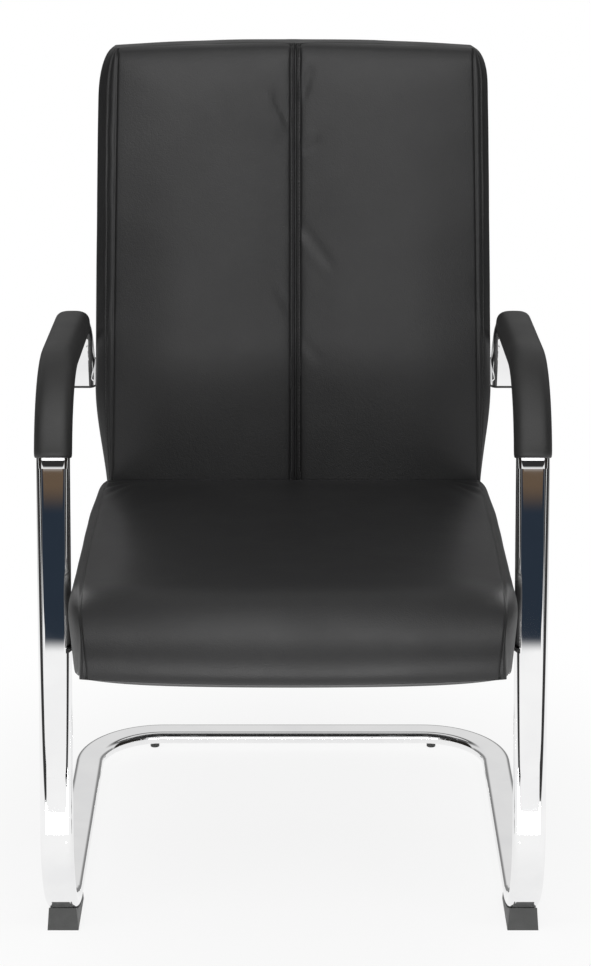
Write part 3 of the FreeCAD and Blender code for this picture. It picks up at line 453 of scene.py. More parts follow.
BLACK_LEATHER = leather_material(
    "black_leather", dark=(0.005, 0.005, 0.0054), light=(0.0095, 0.0095, 0.0098), gloss=0.46, grain=0.28,
)
ARM_LEATHER = leather_material(
    "arm_leather", dark=(0.009, 0.009, 0.009), light=(0.015, 0.015, 0.0145), gloss=0.52, grain=0.16,
)
THREAD = hard_material(
    "black_thread", (0.020, 0.020, 0.020), (0.040, 0.040, 0.040), low=0.5, high=0.7, grain=0.3,
)
CHROME = hard_material(
    "polished_chrome", (0.90, 0.90, 0.90), (0.86, 0.86, 0.865), low=0.008, high=0.02, metallic=1.0,
)
ZINC = hard_material(
    "zinc_plate", (0.55, 0.56, 0.58), (0.42, 0.43, 0.45),
    low=0.28, high=0.42, metallic=1.0, smears=60.0, grain=0.1,
)
BLACK_STEEL = hard_material(
    "black_enamel", (0.014, 0.014, 0.014), (0.022, 0.022, 0.022),
    low=0.32, high=0.48, smears=40.0, grain=0.12,
)
BLACK_PLASTIC = hard_material(
    "moulded_black", (0.040, 0.041, 0.040), (0.058, 0.059, 0.058),
    low=0.45, high=0.6, smears=50.0, grain=0.35,
)
BLACK_RUBBER = hard_material(
    "black_rubber", (0.012, 0.012, 0.012), (0.022, 0.022, 0.022),
    low=0.65, high=0.85, smears=60.0, grain=0.4,
)
PLYWOOD = plywood_material()
FOAM = foam_material()
DUST_CLOTH = dust_cloth_material()

SLOT_MATERIALS = {
    "chrome": CHROME,
    "black_steel": BLACK_STEEL,
    "zinc_steel": ZINC,
    "black_plastic": BLACK_PLASTIC,
    "black_rubber": BLACK_RUBBER,
    "black_leather": BLACK_LEATHER,
    "arm_leather": ARM_LEATHER,
    "foam": FOAM,
    "plywood": PLYWOOD,
    "dust_cloth": DUST_CLOTH,
}


def finish_solids():
    """Give every solid of the frame its finish."""
    for entry in frame["record"]["subparts"]:
        solid = NODES[entry["node"]]
        solid.data.materials.clear()
        solid.data.materials.append(SLOT_MATERIALS[entry["material_slot"]])


# Soft pieces

def seat_point(x, run, rise):
    """Point of the tilted seat frame."""
    y = SEAT_FRONT_Y + run * math.cos(SEAT_TILT) + rise * math.sin(SEAT_TILT)
    return Vector((x, y, SEAT_FRONT_HEIGHT - run * math.sin(SEAT_TILT) + rise * math.cos(SEAT_TILT)))


def back_point(x, setback, climb):
    """Point of the leaning, curved back frame."""
    radius = (BACK_LENGTH - BACK_STRAIGHT) / BACK_CURVE
    turn = max(0, climb - BACK_STRAIGHT) / radius
    reach = radius - setback
    if turn > 0:
        setback = radius - reach * math.cos(turn)
        climb = BACK_STRAIGHT + reach * math.sin(turn)
    y = BACK_FOOT_Y + setback * math.cos(BACK_LEAN) + climb * math.sin(BACK_LEAN)
    return Vector((x, y, BACK_FOOT_HEIGHT - setback * math.sin(BACK_LEAN) + climb * math.cos(BACK_LEAN)))


def steps(length, pitch, first=(), last=(), middle=()):
    """Shares from 0 to 1 along a length, finer at either end and about the middle."""
    near = [0.0] + list(first)
    far = [length] + [length - gap for gap in last]
    centre = [length / 2 + side * gap for gap in middle for side in (-1, 1)]
    if middle:
        centre.append(length / 2)
    marks = sorted(near + far + centre)
    filled = []
    for low, high in zip(marks, marks[1:]):
        count = max(1, round((high - low) / pitch))
        filled += [low + (high - low) * number / count for number in range(count)]
    return [mark / length for mark in filled + [length]]


def boxed_pad(name, place, across, along, deep):
    """Closed mesh over a box of panels.

    place gives the point for shares of its width (-1 to 1), length and depth (0 to 1).
    """
    pad_mesh = bmesh.new()
    layers = {label: pad_mesh.verts.layers.float.new(label) for label in ("across", "along", "deep")}
    made = {}

    def corner(i, j, k):
        if (i, j, k) not in made:
            point = pad_mesh.verts.new(place(2 * across[i] - 1, along[j], deep[k]))
            point[layers["across"]] = 2 * across[i] - 1
            point[layers["along"]] = along[j]
            point[layers["deep"]] = deep[k]
            made[i, j, k] = point
        return made[i, j, k]

    def face(*spots):
        pad_mesh.faces.new([corner(*spot) for spot in spots])

    wide, tall, thick = len(across) - 1, len(along) - 1, len(deep) - 1
    for i in range(wide):
        for j in range(tall):
            for k in (0, thick):
                face((i, j, k), (i + 1, j, k), (i + 1, j + 1, k), (i, j + 1, k))
    for j in range(tall):
        for k in range(thick):
            for i in (0, wide):
                face((i, j, k), (i, j + 1, k), (i, j + 1, k + 1), (i, j, k + 1))
    for i in range(wide):
        for k in range(thick):
            for j in (0, tall):
                face((i, j, k), (i + 1, j, k), (i + 1, j, k + 1), (i, j, k + 1))
    bmesh.ops.recalc_face_normals(pad_mesh, faces=pad_mesh.faces)
    return new_piece(name, pad_mesh)


def new_piece(name, built):
    """Object from a built mesh, shaded smooth."""
    mesh = bpy.data.meshes.new(name)
    built.to_mesh(mesh)
    built.free()
    piece = bpy.data.objects.new(name, mesh)
    bpy.context.scene.collection.objects.link(piece)
    for face in mesh.polygons:
        face.use_smooth = True
    return piece


def values(piece, label):
    """A named value of every point of a piece."""
    return [entry.value for entry in piece.data.attributes[label].data]


def puff(piece, sewn):
    """Inflate a cover with cloth simulation, held where it is sewn, no point moving past the cap.

    The swell is then evened out, so only the broader folds stay.
    """
    held = piece.vertex_groups.new(name="sewn")
    held.add(sewn, 1.0, "REPLACE")
    cloth = piece.modifiers.new("puff", "CLOTH")
    cloth.settings.quality = 6
    cloth.settings.mass = 0.3
    cloth.settings.tension_stiffness = 18
    cloth.settings.compression_stiffness = 18
    cloth.settings.shear_stiffness = 8
    cloth.settings.bending_stiffness = 0.6
    cloth.settings.use_pressure = True
    cloth.settings.uniform_pressure_force = PUFF_PRESSURE
    cloth.settings.shrink_min = -PUFF_SLACK
    cloth.settings.effector_weights.gravity = 0
    cloth.settings.vertex_group_mass = "sewn"
    cloth.settings.pin_stiffness = 1
    cloth.collision_settings.use_collision = False
    cloth.point_cache.frame_start = 1
    cloth.point_cache.frame_end = PUFF_FRAMES
    for tick in range(1, PUFF_FRAMES + 1):
        bpy.context.scene.frame_set(tick)
    puffed = piece.evaluated_get(bpy.context.evaluated_depsgraph_get())
    swell = [
        min(PUFF_CAP, max(0.0, (after.co - before.co).dot(before.normal)))
        for after, before in zip(puffed.data.vertices, piece.data.vertices)
    ]
    swell = evened(piece, swell, set(sewn))
    moved = [point.co + point.normal * out for point, out in zip(piece.data.vertices, swell)]
    for point, spot in zip(piece.data.vertices, moved):
        point.co = spot
    piece.modifiers.remove(cloth)
    bpy.context.scene.frame_set(1)


def evened(piece, swell, fixed):
    """Even out a value between neighbouring points, as padding under a cover does."""
    beside = [[] for _ in swell]
    for edge in piece.data.edges:
        first, second = edge.vertices
        beside[first].append(second)
        beside[second].append(first)
    for _ in range(PUFF_EVENINGS):
        around = [sum(swell[near] for near in nears) / len(nears) for nears in beside]
        swell = [
            out if number in fixed else (1 - EVENING_SHARE) * out + EVENING_SHARE * around[number]
            for number, out in enumerate(swell)
        ]
    return swell


def subdivide(piece):
    """Apply one subdivision."""
    piece.modifiers.new("smooth", "SUBSURF").levels = 1
    result = bpy.data.meshes.new_from_object(piece.evaluated_get(bpy.context.evaluated_depsgraph_get()))
    piece.modifiers.clear()
    piece.data = result
    for face in result.polygons:
        face.use_smooth = True


def emboss(piece, depth_at):
    """Move every point along its normal.

    depth_at gives how far for the point's shares, and how much painted shade darkens the cover there, kept
    in the point attribute fold.
    """
    shares = zip(values(piece, "across"), values(piece, "along"), values(piece, "deep"))
    fold = piece.data.attributes.new("fold", "FLOAT", "POINT")
    moves = []
    for number, (across, along, deep) in enumerate(shares):
        push, painted_groove_shade = depth_at(across, along, deep)
        moves.append(piece.data.vertices[number].normal * push)
        # The fold attribute holds painted shade: how much the cover's colour is darkened
        fold.data[number].value = min(1.0, max(0.0, painted_groove_shade))
    for point, move in zip(piece.data.vertices, moves):
        point.co = point.co + move


def surface_of(piece):
    return BVHTree.FromPolygons(
        [point.co for point in piece.data.vertices], [face.vertices[:] for face in piece.data.polygons],
    )


def sewn_row(name, surface, points):
    """Row of stitches laid on a surface along a line of points."""
    row = bmesh.new()
    laid = [surface.find_nearest(point)[:2] for point in points]
    gone = 0.0
    for (start, normal), (end, _) in zip(laid, laid[1:]):
        span = end - start
        way = span.normalized()
        while gone < span.length:
            stitch(row, start + way * gone, way, normal)
            gone += STITCH_PITCH
        gone -= span.length
    piece = new_piece(name, row)
    piece.data.materials.append(THREAD)
    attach(piece, "root")


def stitch(row, middle, way, normal):
    """One stitch: a short rounded thread that dives at both ends."""
    side = way.cross(normal).normalized()
    rings = []
    for share in (-1.0, -0.8, -0.35, 0.35, 0.8, 1.0):
        swell = math.sqrt(max(0.0, 1 - share * share)) * 0.75 + 0.25
        lift = THREAD_RADIUS * (0.9 - 1.5 * share * share)
        centre = middle + way * (share * STITCH_LENGTH / 2) + normal * lift
        ring = []
        for number in range(6):
            turn = math.tau * number / 6
            offset = side * math.cos(turn) + normal * math.sin(turn)
            ring.append(row.verts.new(centre + offset * (THREAD_RADIUS * swell)))
        rings.append(ring)
    for ring, after in zip(rings, rings[1:]):
        for number in range(6):
            later = (number + 1) % 6
            row.faces.new([ring[number], ring[later], after[later], after[number]])
    row.faces.new(rings[0][::-1])
    row.faces.new(rings[-1])


def fit_pad(piece, material, node):
    """Finish a padded piece that stands for a node."""
    piece.data.materials.append(material)
    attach(piece, "root")
    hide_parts(node)


def foam_core(name, node, place, grid):
    """Foam block a little inside a cover's sewn shape."""
    piece = boxed_pad(name, place, *grid)
    inside = [point.co - point.normal * FOAM_INSET for point in piece.data.vertices]
    for point, spot in zip(piece.data.vertices, inside):
        point.co = spot
    fit_pad(piece, FOAM, node)


# Seat cushion

def seat_bends(gone):
    """Run and rise of the side seam at a distance from the rear edge, over the front to the hem."""
    if gone <= SEAT_TOP_RUN:
        return SEAT_LENGTH - gone, SEAT_SEAM_RISE + SEAT_REAR_LIFT * (1 - gone / SEAT_TOP_RUN) ** 2
    if gone <= SEAT_TOP_RUN + SEAT_NOSE_ARC:
        turn = (gone - SEAT_TOP_RUN) / SEAT_NOSE_ARC * math.pi / 2
        drop = SEAT_SEAM_RISE - SEAT_NOSE_RISE
        return SEAT_NOSE_RUN * (1 - math.sin(turn)), SEAT_NOSE_RISE + drop * math.cos(turn)
    last = math.asin(1 - SEAT_HEM_RISE / SEAT_NOSE_RISE)
    turn = (gone - SEAT_TOP_RUN - SEAT_NOSE_ARC) / SEAT_CHIN_ARC * last
    return SEAT_CHIN_RUN * (1 - math.cos(turn)), SEAT_NOSE_RISE * (1 - math.sin(turn))


def seat_profile(along):
    """Run and rise of the side seam at a share of its length, with the bends eased into each other."""
    gone = along * SEAT_PATH
    reach = min(SEAT_BEND_EASE, gone, SEAT_PATH - gone)
    spots = [seat_bends(gone + reach * share / 3) for share in range(-3, 4)]
    return sum(run for run, _ in spots) / len(spots), sum(rise for _, rise in spots) / len(spots)


def seat_half(along):
    """Half width between the side seams, drawn in round the front."""
    front = ease((along * SEAT_PATH - SEAT_TOP_RUN) / (SEAT_NOSE_ARC + SEAT_CHIN_ARC))
    middle = SEAT_SEAM_BOW * math.sin(math.pi * min(1, along * SEAT_PATH / SEAT_TOP_RUN))
    return SEAT_SEAM_HALF + middle + (SEAT_FRONT_SEAM_HALF - SEAT_SEAM_HALF) * front


def seat_belly(run):
    """Half width of the seat's boxing at its fullest, with round front corners."""
    short = min(1, max(0, 1 - (run - SEAT_HEM_RUN) / SEAT_FRONT_ROUND))
    rear = ease((run / SEAT_LENGTH - 0.8) / 0.2)
    return SEAT_BELLY_HALF - SEAT_FRONT_DRAW * short ** 2 - SEAT_REAR_DRAW * rear


def seat_tuck(run):
    """How far the boxing draws in again towards the lower edge."""
    side = ease((run - SEAT_TUCK_START) / SEAT_TUCK_RUN)
    rear = ease((run / SEAT_LENGTH - 0.7) / 0.25)
    tuck = SEAT_FRONT_TUCK + (SEAT_SIDE_TUCK - SEAT_FRONT_TUCK) * side
    return tuck + (SEAT_REAR_TUCK - SEAT_SIDE_TUCK) * rear


def boxing_out(deep, peak, end, quick=2.2):
    """How far a bulging boxing stands out, as a share.

    It goes out quickly from its seam to a peak, then eases to its end.
    """
    if deep <= peak:
        return 1 - (1 - deep / peak) ** quick
    return 1 + (end - 1) * ease((deep - peak) / (1 - peak))


def seat_place(across, along, deep):
    """Point of the seat cushion before it is puffed."""
    run, rise = seat_profile(along)
    gone = along * SEAT_PATH - SEAT_TOP_RUN
    turn = math.pi / 2 * min(1, max(0, gone / SEAT_NOSE_ARC))
    crown = SEAT_CROWN * (1 - abs(across) ** SEAT_CROWN_POWER) * (1 - deep)
    crown *= ease(along * SEAT_PATH / SEAT_CROWN_START)
    chin = 1 - SEAT_CHIN_EASE * min(1, max(0, (gone - SEAT_NOSE_ARC) / SEAT_CHIN_ARC)) ** 3
    top_run = run - crown * math.sin(turn) * chin
    top_rise = rise + crown * math.cos(turn)
    foot_run = SEAT_LENGTH - (SEAT_LENGTH - SEAT_HEM_RUN) * along
    at_run = top_run + (foot_run - top_run) * deep
    lift = SEAT_CORNER_LIFT * abs(across) ** 6 * ease((along - 0.9) / 0.1)
    at_rise = top_rise * (1 - deep) + (lift - SEAT_FOOT_DROP) * deep
    top_half = seat_half(along)
    out = seat_belly(at_run) - top_half
    end = 1 - seat_tuck(at_run) / out
    x = across * (top_half + out * boxing_out(deep, SEAT_BELLY_DEEP, end, SEAT_BELLY_QUICK))
    bow = SEAT_FRONT_BOW * across * across * (1 - at_run / SEAT_LENGTH) ** 2
    shear = math.tan(BACK_LEAN - SEAT_TILT) * at_run / SEAT_LENGTH
    return seat_point(x, at_run + bow + at_rise * shear, at_rise)


def seat_seam(across, deep):
    """Signed distance from the side seam: positive down the boxing, negative in from the panel's edge."""
    if deep > 0:
        return deep * SEAT_SEAM_RISE
    return (abs(across) - 1) * SEAT_SEAM_HALF


def seat_relief(across, along, deep):
    """Sewing and wear puckers of the seat cover, with painted shade in the seam, hem and pucker grooves."""
    if at_end(deep):
        return 0.0, 0.0
    beside_seam = at_end(abs(across)) or at_start(deep)
    gap = seat_seam(across, deep) if beside_seam else 1.0
    groove = dip(gap, 0.0013)
    push = -SEAM_DEPTH * groove
    hem = dip((1 - along) * SEAT_PATH, 0.0014) if at_start(deep) else 0.0
    push -= SEAM_DEPTH * hem
    pucker = 0.0
    if at_start(deep):
        pucker = corner_puckers((1 - abs(across)) * SEAT_SEAM_HALF, along * SEAT_PATH)
        push += 0.0013 * pucker
    # The second value is painted shade in the seam, hem and pucker grooves
    return push, 0.9 * groove + 0.9 * hem + 0.15 * max(0.0, -pucker)


def corner_puckers(inward, forward):
    """Small gathers that fan out to the side seam near the rear corner."""
    if inward > 0.07 or forward > 0.11:
        return 0.0
    turn = math.atan2(forward + 0.002, 0.052 - inward)
    near = dip(inward - 0.012, 0.017) * dip(forward - 0.030, 0.036)
    return near * math.cos(turn * 17 + 0.5)


def seat_foam():
    """Seat foam inside the cover."""
    grid = [steps(size, FOAM_PITCH) for size in (2 * SEAT_SEAM_HALF, SEAT_PATH, SEAT_SEAM_RISE)]
    foam_core("seat_foam_block", "seat_foam", seat_place, grid)


def seat_cushion():
    """Seat cover with a puffed top, side boxing and a hem along its front."""
    width = steps(2 * SEAT_SEAM_HALF, COVER_PITCH, SEAM_GRID, SEAM_GRID)
    length = steps(SEAT_PATH, COVER_PITCH, (0.003, 0.007), (0.0015, 0.003, 0.006))
    depth = steps(SEAT_SEAM_RISE, 0.009, SEAM_GRID, (0.004,))
    piece = boxed_pad("seat_cushion", seat_place, width, length, depth)
    rows = zip(values(piece, "across"), values(piece, "along"), values(piece, "deep"))
    sewn = [
        number for number, (across, along, deep) in enumerate(rows)
        if at_end(deep) or at_start(along) or at_end(along) or (at_end(abs(across)) and at_start(deep))
    ]
    puff(piece, sewn)
    subdivide(piece)
    emboss(piece, seat_relief)
    fit_pad(piece, BLACK_LEATHER, "seat_cover")


# Back cushion

def back_half(along):
    """Half width between the front seams at a share of the back's height."""
    return BACK_SEAM_FOOT + (BACK_SEAM_TOP - BACK_SEAM_FOOT) * along


def back_bulge(across, along):
    """How far the side boxing stands out, less behind the seat and round the top corner."""
    climb = along * BACK_LENGTH
    low = BACK_TUCK_SHARE + (1 - BACK_TUCK_SHARE) * ease((climb - BACK_TUCK_START) / BACK_TUCK_RUN)
    rounding = BACK_TOP_ROUND[1 if across > 0 else -1]
    top = max(0, (climb - BACK_LENGTH) / rounding + 1)
    return BACK_SIDE_BULGE * low * math.sqrt(max(0.02, 1 - top ** 2.6))


def back_place(across, along, deep):
    """Point of the back cushion before it is puffed. The front panels roll over the top."""
    half = back_half(along)
    reach = abs(across)
    panel = BACK_VALLEY * (1 - reach) ** 3 + BACK_CROWN * reach ** 4
    if at_end(reach):
        out = boxing_out(deep, BACK_BULGE_DEEP, BACK_BULGE_END)
    else:
        out = min(1, deep * 3) * 0.6
    x = across * (half + back_bulge(across, along) * out)
    x += BACK_PANEL_SHIFT * (1 - min(1, deep * 2))
    rim = ease((1 - reach) * half / BACK_RIM_WIDTH) * ease(along * BACK_LENGTH / BACK_RIM_FOOT)
    rim *= ease((1 - along) * BACK_LENGTH / BACK_RIM_WIDTH)
    rear = BACK_DEPTH - BACK_REAR_RECESS * rim
    setback = (BACK_TAPER * along + panel) * (1 - deep) + rear * deep
    level = math.tan(BACK_LEAN + BACK_CURVE) * ease((along - 0.45) / 0.55)
    climb = along * BACK_LENGTH - BACK_TOP_DROP * reach ** 2 * ease((along - 0.8) / 0.2)
    left = BACK_LENGTH * (1 - along)
    if left < BACK_TOP_ROLL:
        roll = BACK_TOP_ROLL - left
        lost = BACK_TOP_ROLL - math.sqrt(BACK_TOP_ROLL ** 2 - roll ** 2)
        setback += 0.7 * lost * (1 - deep) ** 2
    return back_point(x, setback, climb + setback * level)


CREASES = (
    # Each crease by the centre seam: across and up at either end, then its depth and width
    (-0.026, 0.563, -0.007, 0.520, 0.0022, 0.0060),
    (-0.034, 0.545, -0.012, 0.500, 0.0008, 0.0070),
    (0.018, 0.592, 0.009, 0.555, 0.0020, 0.0052),
    (0.028, 0.506, 0.009, 0.493, 0.0016, 0.0056),
    (0.009, 0.400, 0.044, 0.352, 0.0024, 0.0064),
    (0.012, 0.372, 0.036, 0.330, 0.0008, 0.0070),
    (-0.024, 0.330, -0.008, 0.300, 0.0008, 0.0060),
    (0.008, 0.262, 0.030, 0.236, 0.0012, 0.0060),
)


def crease_dip(x, up, crease):
    """Depth of one crease at a place on the panel: a valley with a low ridge along it."""
    x0, up0, x1, up1, depth, width = crease
    along = Vector((x1 - x0, up1 - up0))
    offset = Vector((x - x0, up - up0))
    share = offset.dot(along) / along.length_squared
    off = (offset.x * along.y - offset.y * along.x) / along.length
    fade = ease(min(share + 0.25, 1.25 - share) / 0.5)
    return depth * fade * (dip(off, width) - 0.6 * dip(off - 1.9 * width, 1.4 * width))


def back_relief(across, along, deep):
    """Sewing and creases of the back cover, with painted shade in its seams and stitch lines."""
    if at_end(deep):
        return 0.0, 0.0
    half = back_half(along)
    if at_end(abs(across)):
        boxing = deep * (BACK_DEPTH - BACK_TAPER * along) * BOXING_STRETCH
        seam = dip(boxing, SEAM_WIDTH)
        second = dip(boxing - WELT_WIDTH, 0.0012)
        push = -SEAM_DEPTH * seam + 0.0008 * dip(boxing - WELT_WIDTH / 2, 0.0034) - 0.0014 * second
        fold = 0.0007 * dip(boxing - 0.030, 0.0030)
        # The second value is painted shade in the boxing's seam and welt groove
        return push + fold, 0.85 * seam + 0.6 * second
    if not at_start(deep):
        return 0.0, 0.0
    seam = dip((1 - abs(across)) * half, SEAM_WIDTH)
    push = -SEAM_DEPTH * seam
    painted_groove_shade = 0.85 * seam
    middle = abs(across) * half
    centre = dip(middle, 0.0010)
    stitched = dip(middle - CENTRE_STITCH, 0.0014)
    push -= 0.0016 * centre + 0.0015 * stitched + 0.0016 * dip(middle, 0.0085)
    push += 0.0011 * dip(middle - CENTRE_RIDGE, 0.0008)
    # Painted shade in the front seams, the centre seam and its stitch lines
    painted_groove_shade += 0.8 * centre + 0.45 * stitched
    for crease in CREASES:
        push -= crease_dip(across * half, along * BACK_LENGTH, crease)
    return push, painted_groove_shade


def back_foam():
    """Back foam inside the cover, in front of the board."""
    grid = [steps(size, FOAM_PITCH) for size in (2 * BACK_SEAM_FOOT, BACK_LENGTH, BACK_DEPTH)]
    foam_core("back_foam_block", "back_foam", back_foam_place, grid)


def back_foam_place(across, along, deep):
    """Point of the back foam, which fills the front part of the cushion's depth."""
    return back_place(across, 0.01 + 0.97 * along, BACK_FOAM_DEEP * deep)


def back_cushion():
    """Back cover of two puffed panels either side of a centre seam, with boxing all round."""
    twin_rows = (
        0.0006, 0.0012, 0.0018, 0.0024, 0.0031, 0.0038, 0.0045, 0.0052, 0.006, 0.0075, 0.010, 0.014,
    )
    width = steps(2 * BACK_SEAM_FOOT, COVER_PITCH, SEAM_GRID, SEAM_GRID, twin_rows)
    length = steps(BACK_LENGTH, COVER_PITCH, (0.003, 0.008), SEAM_GRID)
    welt = (0.0011, 0.0022, 0.0035, 0.0047, 0.0058, 0.0066, 0.0074, 0.0083, 0.0095, 0.012)
    depth = steps(BACK_DEPTH - BACK_TAPER / 2, 0.007, welt, (0.003,))
    piece = boxed_pad("back_cushion", back_place, width, length, depth)
    rows = zip(values(piece, "across"), values(piece, "along"), values(piece, "deep"))
    sewn = [
        number for number, (across, along, deep) in enumerate(rows)
        if at_end(deep) or at_start(along)
        or (at_start(deep) and (at_end(abs(across)) or at_start(abs(across))))
    ]
    puff(piece, sewn)
    subdivide(piece)
    emboss(piece, back_relief)
    fit_pad(piece, BLACK_LEATHER, "back_cover")
    return piece


def back_stitches(cushion):
    """Twin topstitching down the centre seam and one row along each welt."""
    surface = surface_of(cushion)
    shares = [0.02 + 0.965 * number / 120 for number in range(121)]
    welt = (WELT_WIDTH / BOXING_STRETCH + 0.0005) / (BACK_DEPTH - BACK_TAPER / 2)
    for side, name in ((-1, "left"), (1, "right")):
        reach = side * CENTRE_STITCH / BACK_SEAM_FOOT
        centre_line = [back_place(reach, share, 0.0) for share in shares]
        welt_line = [back_place(side, share, welt) for share in shares]
        sewn_row(f"centre_stitches_{name}", surface, centre_line)
        sewn_row(f"welt_stitches_{name}", surface, welt_line)


def panel_place(across, along, deep):
    """Point of the padded panel that closes the back's rear, deep being forward."""
    height = PANEL_TOP - PANEL_FOOT
    climb = PANEL_FOOT + height * along
    half = back_half(climb / BACK_LENGTH) - PANEL_MARGIN
    edge = min((1 - abs(across)) * half, along * height, (1 - along) * height)
    puffed = PANEL_PUFF * ease(edge / PANEL_PUFF_RUN) - PANEL_EDGE_DROP * (1 - ease(edge / PANEL_EDGE_RUN))
    setback = BACK_DEPTH - PANEL_LIP + puffed * (1 - deep) - PANEL_THICKNESS * deep
    return back_point(across * half, setback, climb)


def rear_panel():
    """Upholstered panel over the back's rear."""
    edge = (0.0015, 0.004, 0.008, 0.015)
    width = steps(PANEL_GRID_WIDTH, 0.016, edge, edge)
    length = steps(PANEL_GRID_LENGTH, 0.016, edge, edge)
    piece = boxed_pad("rear_panel_cover", panel_place, width, length, steps(PANEL_THICKNESS, 0.003))
    subdivide(piece)
    fit_pad(piece, BLACK_LEATHER, "back_rear_panel")


# Arm sleeves

def arm_line():
    """The arm tube's centre line under the sleeve, front to rear, and its length.

    The line is a function that gives the place and the outward way at a distance along it.
    """
    low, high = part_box("left_arm_pad")
    front_turn = math.pi - LEG_LEAN - PAD_FRONT_TURN
    arm_turn = math.pi / 2 - ARM_SLOPE
    outer = ARM_BEND + TUBE_DEPTH / 2 + ARM_TOP
    centre_y = low.y - outer * math.cos(front_turn)
    start_y = centre_y + ARM_BEND * math.sin(ARM_SLOPE)
    start = Vector((0, start_y, ARM_HEIGHT - start_y * math.tan(ARM_SLOPE)))
    along = Vector((0, math.cos(ARM_SLOPE), -math.sin(ARM_SLOPE)))
    up = Vector((0, math.sin(ARM_SLOPE), math.cos(ARM_SLOPE)))
    bend = ARM_BEND * (front_turn - arm_turn)
    tail = ARM_BEND * PAD_REAR_TURN
    straight = (high.y - start_y) / math.cos(ARM_SLOPE) - tail

    def place(gone):
        if gone < bend:
            turn = front_turn - gone / ARM_BEND
            way = Vector((0, math.cos(turn), math.sin(turn)))
            return start - up * ARM_BEND + way * ARM_BEND, way
        if gone < bend + straight:
            return start + along * (gone - bend), up
        turn = arm_turn - (gone - bend - straight) / ARM_BEND
        way = Vector((0, math.cos(turn), math.sin(turn)))
        return start + along * straight - up * ARM_BEND + way * ARM_BEND, way

    return place, bend + straight + tail


def sleeve_ring(centre, way, grow):
    """Ring round the tube: a soft oval, thicker on top, from the tube's skin to full padding."""
    ring = []
    top = TUBE_DEPTH / 2 + SLEEVE_SKIN + (ARM_TOP - SLEEVE_SKIN) * grow
    under = TUBE_DEPTH / 2 + SLEEVE_SKIN + (ARM_UNDER - SLEEVE_SKIN) * grow
    half = TUBE_WIDTH / 2 + SLEEVE_SKIN + ((ARM_WIDTH - TUBE_WIDTH) / 2 - SLEEVE_SKIN) * grow
    for number in range(SLEEVE_SIDES):
        turn = math.tau * number / SLEEVE_SIDES
        x = math.copysign(abs(math.cos(turn)) ** ARM_ROUNDNESS, math.cos(turn)) * half
        lift = math.copysign(abs(math.sin(turn)) ** ARM_ROUNDNESS, math.sin(turn))
        ring.append(centre + Vector((x, 0, 0)) + way * (lift * (top if lift > 0 else under)))
    return ring


def sleeve_relief(around, along, grown):
    """Closing seam along the underside of a sleeve, with painted shade in it."""
    under = dip((around - 0.75) * 0.12, 0.0016)
    # The second value is painted shade in the underside seam
    return -0.0010 * under, 0.7 * under


def arm_sleeve(side, sign):
    """Padded sleeve round one arm, drawn in at both ends."""
    place_at, length = arm_line()
    shift = Vector((sign * ARM_SPREAD, 0, 0))
    built = bmesh.new()
    layers = [built.verts.layers.float.new(label) for label in ("across", "along", "deep")]
    rings = []
    rim = ((0.0, 0.0), (0.0, 0.45), (0.0006, 0.68), (0.002, 0.86), (0.0045, 0.96), (0.008, 1.0))
    body = [(length * number / SLEEVE_RINGS, 1.0) for number in range(2, SLEEVE_RINGS - 1)]
    plan = list(rim) + body + [(length - gone, grow) for gone, grow in reversed(rim)]
    for gone, grow in plan:
        centre, way = place_at(gone)
        ring = [built.verts.new(point + shift) for point in sleeve_ring(centre, way, grow)]
        for spot, point in enumerate(ring):
            point[layers[0]] = spot / len(ring)
            point[layers[1]] = gone / length
            point[layers[2]] = grow
        rings.append(ring)
    for ring, after in zip(rings, rings[1:]):
        for number in range(SLEEVE_SIDES):
            later = (number + 1) % SLEEVE_SIDES
            built.faces.new([ring[number], ring[later], after[later], after[number]])
    for ring in (rings[0], rings[-1]):
        built.faces.new(ring)
    bmesh.ops.recalc_face_normals(built, faces=built.faces)
    piece = new_piece(f"{side}_arm_sleeve", built)
    subdivide(piece)
    emboss(piece, sleeve_relief)
    fit_pad(piece, ARM_LEATHER, f"{side}_arm_pad")


def dust_sheet():
    """Black cloth tacked under the seat board, a little slack between its edges."""
    built = bmesh.new()
    rows = []
    for j in range(DUST_STEPS + 1):
        row = []
        for i in range(DUST_STEPS + 1):
            across, along = i / DUST_STEPS, j / DUST_STEPS
            slack = math.sin(math.pi * across) * math.sin(math.pi * along)
            ripple = DUST_RIPPLE * math.sin(across * 21 + 3 * along) * slack
            run = DUST_FRONT_RUN + along * DUST_LENGTH
            row.append(built.verts.new(seat_point((across - 0.5) * DUST_WIDTH, run, ripple - DUST_DROP)))
        rows.append(row)
    for row, after in zip(rows, rows[1:]):
        for i in range(DUST_STEPS):
            built.faces.new([row[i], after[i], after[i + 1], row[i + 1]])
    piece = new_piece("dust_sheet", built)
    piece.data.materials.append(DUST_CLOTH)
    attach(piece, "root")
    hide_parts("seat_dust_cover")


# Studio

